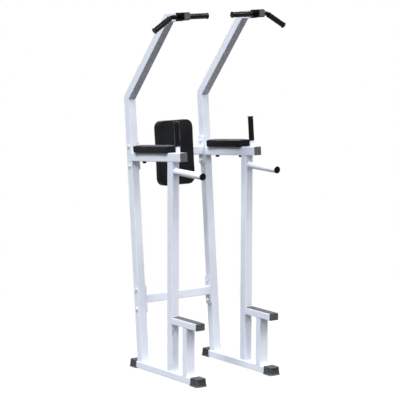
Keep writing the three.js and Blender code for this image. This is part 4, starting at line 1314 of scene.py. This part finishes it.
def creased(mesh, thickness, seed):
    """Slight unevenness, strongest beside the sewn edge."""
    shift = Vector([seed * step for step in SEED_STEPS])
    normals = [v.normal.copy() for v in mesh.vertices]
    for vertex, normal in zip(mesh.vertices, normals):
        near = max(0.0, 1 - abs(vertex.co.z - thickness) / CREASE_REACH)
        fine = noise.noise(vertex.co * FINE_CREASE["scale"] + shift)
        wide = noise.noise(vertex.co * WIDE_CREASE["scale"] + shift)
        vertex.co += normal * (WIDE_CREASE["height"] * wide + FINE_CREASE["height"] * near * fine)
    return mesh


def smoother(mesh, held):
    """One finer subdivision, after the panels between the held points are calmed."""
    piece = pad_with_held(mesh, held)
    modified(piece, "calm", "SMOOTH", factor=0.5, iterations=3, vertex_group="held", invert_vertex_group=True)
    modified(piece, "finer", "SUBSURF", levels=1, render_levels=1)
    return finished_mesh(piece)


def perimeter(width, length, corner):
    """Points round the pad's plan with their outward directions."""
    points = [Vector((x, y, 0)) for x, y in rounded_loop(width / 2, length / 2, corner, 8, side_steps=40)]
    pairs = []
    for i, point in enumerate(points):
        ahead = (points[(i + 1) % len(points)] - points[i - 1]).normalized()
        pairs.append((point, Vector((ahead.y, -ahead.x, 0))))
    return pairs


def sewn_lines(mesh, plan, thickness):
    """The edge seam and the stitch rows beside it, found on the cover's surface."""
    cover = BVHTree.FromPolygons([v.co for v in mesh.vertices], [p.vertices for p in mesh.polygons])
    clear = 0.03
    band_down = 0.0085
    panel_in = 0.0065

    def on_cover(origin, direction):
        place = cover.ray_cast(origin, direction)[0]
        return place if place else origin

    seam, band, panel = [], [], []
    for point, outward in plan:
        aside = point + outward * clear
        seam.append(on_cover(aside + UP * (thickness + clear), (-outward - UP).normalized()))
        band.append(on_cover(aside + UP * (thickness - band_down), -outward))
        panel.append(on_cover(point - outward * panel_in + UP * (thickness + clear), -UP))
    return seam, band, panel


def calmer(line):
    """A closed line with its kinks smoothed."""
    for _ in range(3):
        line = [(line[i - 1] + line[i] * 2 + line[(i + 1) % len(line)]) / 4 for i in range(len(line))]
    return line


def upholstered(name, place, fill, seed, width, length, thickness, corner, crown, bottom=0.0, most=0.0035):
    """A vinyl pad with its sewn edge, in place of the CAD node of its name."""
    mesh = remeshed(pad_shell(width, length, thickness, corner, crown, bottom))
    held = []
    for vertex in mesh.vertices:
        inside, below = rim_gaps(vertex.co, width, length, thickness, corner)
        if vertex.co.z < bottom + HELD_HEIGHT or max(inside, below) < PAD_VOXEL:
            held.append(vertex.index)
    mesh = swollen(mesh, held, most)
    mesh = smoother(creased(mesh, thickness, seed), held)
    seam, band, panel = sewn_lines(mesh, perimeter(width, length, corner), thickness)
    piece = add_piece(f"{name}_cover", mesh, "black_vinyl", name, place=place, sharp=pi)

    sewn = {"place": place, "slot": "black_vinyl", "sharp": THREAD_SHARP_ANGLE}
    cord = sweep(bmesh.new(), calmer(seam), SEAM_CORD_RADIUS, 8, UP, closed=True)
    add_piece(f"{name}_seam", cord, "black_vinyl", **sewn)
    rows = lines_mesh([(calmer(band), True), (calmer(panel), True)])
    add_piece(f"{name}_stitches", grown(stitches, rows, "black_thread", **STITCH), "black_thread", **sewn)


def staple_row(name, place, width, length, corner, hem):
    """Staples that hold the cover's turned-in edge."""
    row = [point for point, _ in perimeter(width - hem, length - hem, corner)]
    mesh = grown(staples, lines_mesh([(row, True)]), "staple_wire", **STAPLE)
    add_piece(name, mesh, "staple_wire", place=place, slot="zinc_plate")


def arm_pad(side, x, seed):
    width, length = ARM_PAD["width"], ARM_PAD["length"]
    place = armrest_axes(x) @ moved(y=ARM_PAD_BACK + length / 2, z=SEAT)
    upholstered(f"{side}_arm_pad", place, PAD_FILL, seed, **ARM_PAD)
    staple_row(f"{side}_arm_pad_staples", place, width, length, ARM_PAD_HEM_CORNER, ARM_PAD_HEM)


def back_pad():
    place = rear_axes(0) @ moved(y=-SEAT, z=UPPER_CROSSBAR_UP + BACK_PAD_RISE) @ FORWARD
    cover_place = place @ moved(y=-BACK_PAD_LOWERED)
    upholstered("back_pad", cover_place, PAD_FILL, 3, **BACK_PAD, bottom=0.001, most=0.0045)
    width, length, corner = BOARD.values()
    board = block(bmesh.new(), width, length, corner, 0, BOARD_THICKNESS, BOARD_EDGE, place)
    dress("back_pad_board", board, "board_backing")
    staple_row("back_pad_staples", place, width, length, corner - BOARD_HEM / 2, BOARD_HEM)
    bm = bmesh.new()
    for end in (-1, 1):
        spot = place @ moved(x=end * BOARD_BOLT_SPACING / 2, y=-BACK_PAD_RISE, z=-TUBE - 2 * SEAM)
        bolt_head(bm, spot, BOARD_BOLT_ACROSS, BOARD_BOLT_HEIGHT)
    add_piece("back_pad_bolts", bm, "zinc_plate", "back_pad_board", sharp=BOLT_SHARP_ANGLE)


# The whole station

for side, way in SIDES.items():
    x = way * HALF_SPACING
    for tube, turn in TUBE_TURNS.items():
        tube_member(f"{side}_{tube}", turn)
    frame_welds(side, x)
    flange_bolts(side, way)
    boots(side, x)
    plugs(side, x)
    tread(side, x)
    dip_handle(side, x)
    hand_grip(side, x)
    pull_up_handle(side, way)
    pad_bolts(side, x)
    arm_pad(side, x, way)

crossbar("lower_crossbar", LOWER_CROSSBAR_UP)
crossbar("upper_crossbar", UPPER_CROSSBAR_UP)
back_pad()


# Floor, light and camera

def show_two(tree, output, lighting, seen):
    """Ends a tree in one shader for the light that falls on the object and another for what is seen."""
    path = wired(tree, "ShaderNodeLightPath")
    shown = combine(tree, "MAXIMUM", path["Is Camera Ray"], path["Is Glossy Ray"])
    shown = combine(tree, "MAXIMUM", shown, path["Is Transmission Ray"])
    mix = wired(tree, "ShaderNodeMixShader", {"Fac": shown, 1: lighting, 2: seen})["Shader"]
    wired(tree, output, {"Surface": mix})


def make_floor():
    """A floor seen as white, with room for the object's shadow near it."""
    mesh = bpy.data.meshes.new("floor")
    corners = [(x * FLOOR_HALF, y * FLOOR_HALF, 0) for x, y in ((-1, -1), (1, -1), (1, 1), (-1, 1))]
    mesh.from_pydata(corners, [], [(0, 1, 2, 3)])
    floor = in_scene("floor", mesh)
    material = bpy.data.materials.new("studio_floor")
    material.use_nodes = True
    tree = material.node_tree
    tree.nodes.clear()
    coords = wired(tree, "ShaderNodeTexCoord")["Object"]
    away = wired(tree, "ShaderNodeVectorMath", {0: coords}, operation="LENGTH")["Value"]
    room = remap(tree, away, **FLOOR_MATT)
    glow = wired(tree, "ShaderNodeEmission", {"Strength": combine(tree, "SUBTRACT", 1.0, room)})["Emission"]
    matt = wired(tree, "ShaderNodeBsdfDiffuse", {"Color": room})["BSDF"]
    seen = wired(tree, "ShaderNodeAddShader", {0: glow, 1: matt})["Shader"]
    plain = wired(tree, "ShaderNodeBsdfDiffuse", {"Color": remap(tree, away, **FLOOR_BOUNCE)})["BSDF"]
    show_two(tree, "ShaderNodeOutputMaterial", plain, seen)
    mesh.materials.append(material)


def make_world():
    world = bpy.data.worlds.new("studio")
    bpy.context.scene.world = world
    world.use_nodes = True
    tree = world.node_tree
    tree.nodes.clear()
    sky = wired(tree, "ShaderNodeBackground", {"Color": (*SKY, 1), "Strength": SKY_STRENGTH})["Background"]
    white = wired(tree, "ShaderNodeBackground", {"Color": (*WHITE, 1)})["Background"]
    show_two(tree, "ShaderNodeOutputWorld", sky, white)


def add_softbox(name, place, size, watts, color):
    lamp = bpy.data.lights.new(name, "AREA")
    lamp.shape = "SQUARE"
    lamp.size = size
    lamp.energy = watts
    lamp.color = color
    box = in_scene(name, lamp)
    box.location = place
    box.rotation_mode = "QUATERNION"
    box.rotation_quaternion = (LAMP_TARGET - Vector(place)).to_track_quat("-Z", "Y")


def make_camera():
    data = bpy.data.cameras.new("camera")
    data.lens = CAMERA_LENS
    data.sensor_width = 36
    data.clip_start = 0.5
    data.clip_end = 100
    camera = in_scene("camera", data)
    turn = Matrix((CAMERA_RIGHT, CAMERA_UP, CAMERA_BACK)).transposed().to_4x4()
    camera.matrix_world = moved(y=FRAME_Y) @ Matrix.Translation(CAMERA_FROM_FRAME) @ turn
    bpy.context.scene.camera = camera


make_floor()
make_world()
for name, settings in SOFTBOXES.items():
    add_softbox(name, *settings)
make_camera()
bpy.context.scene.view_settings.view_transform = "Standard"
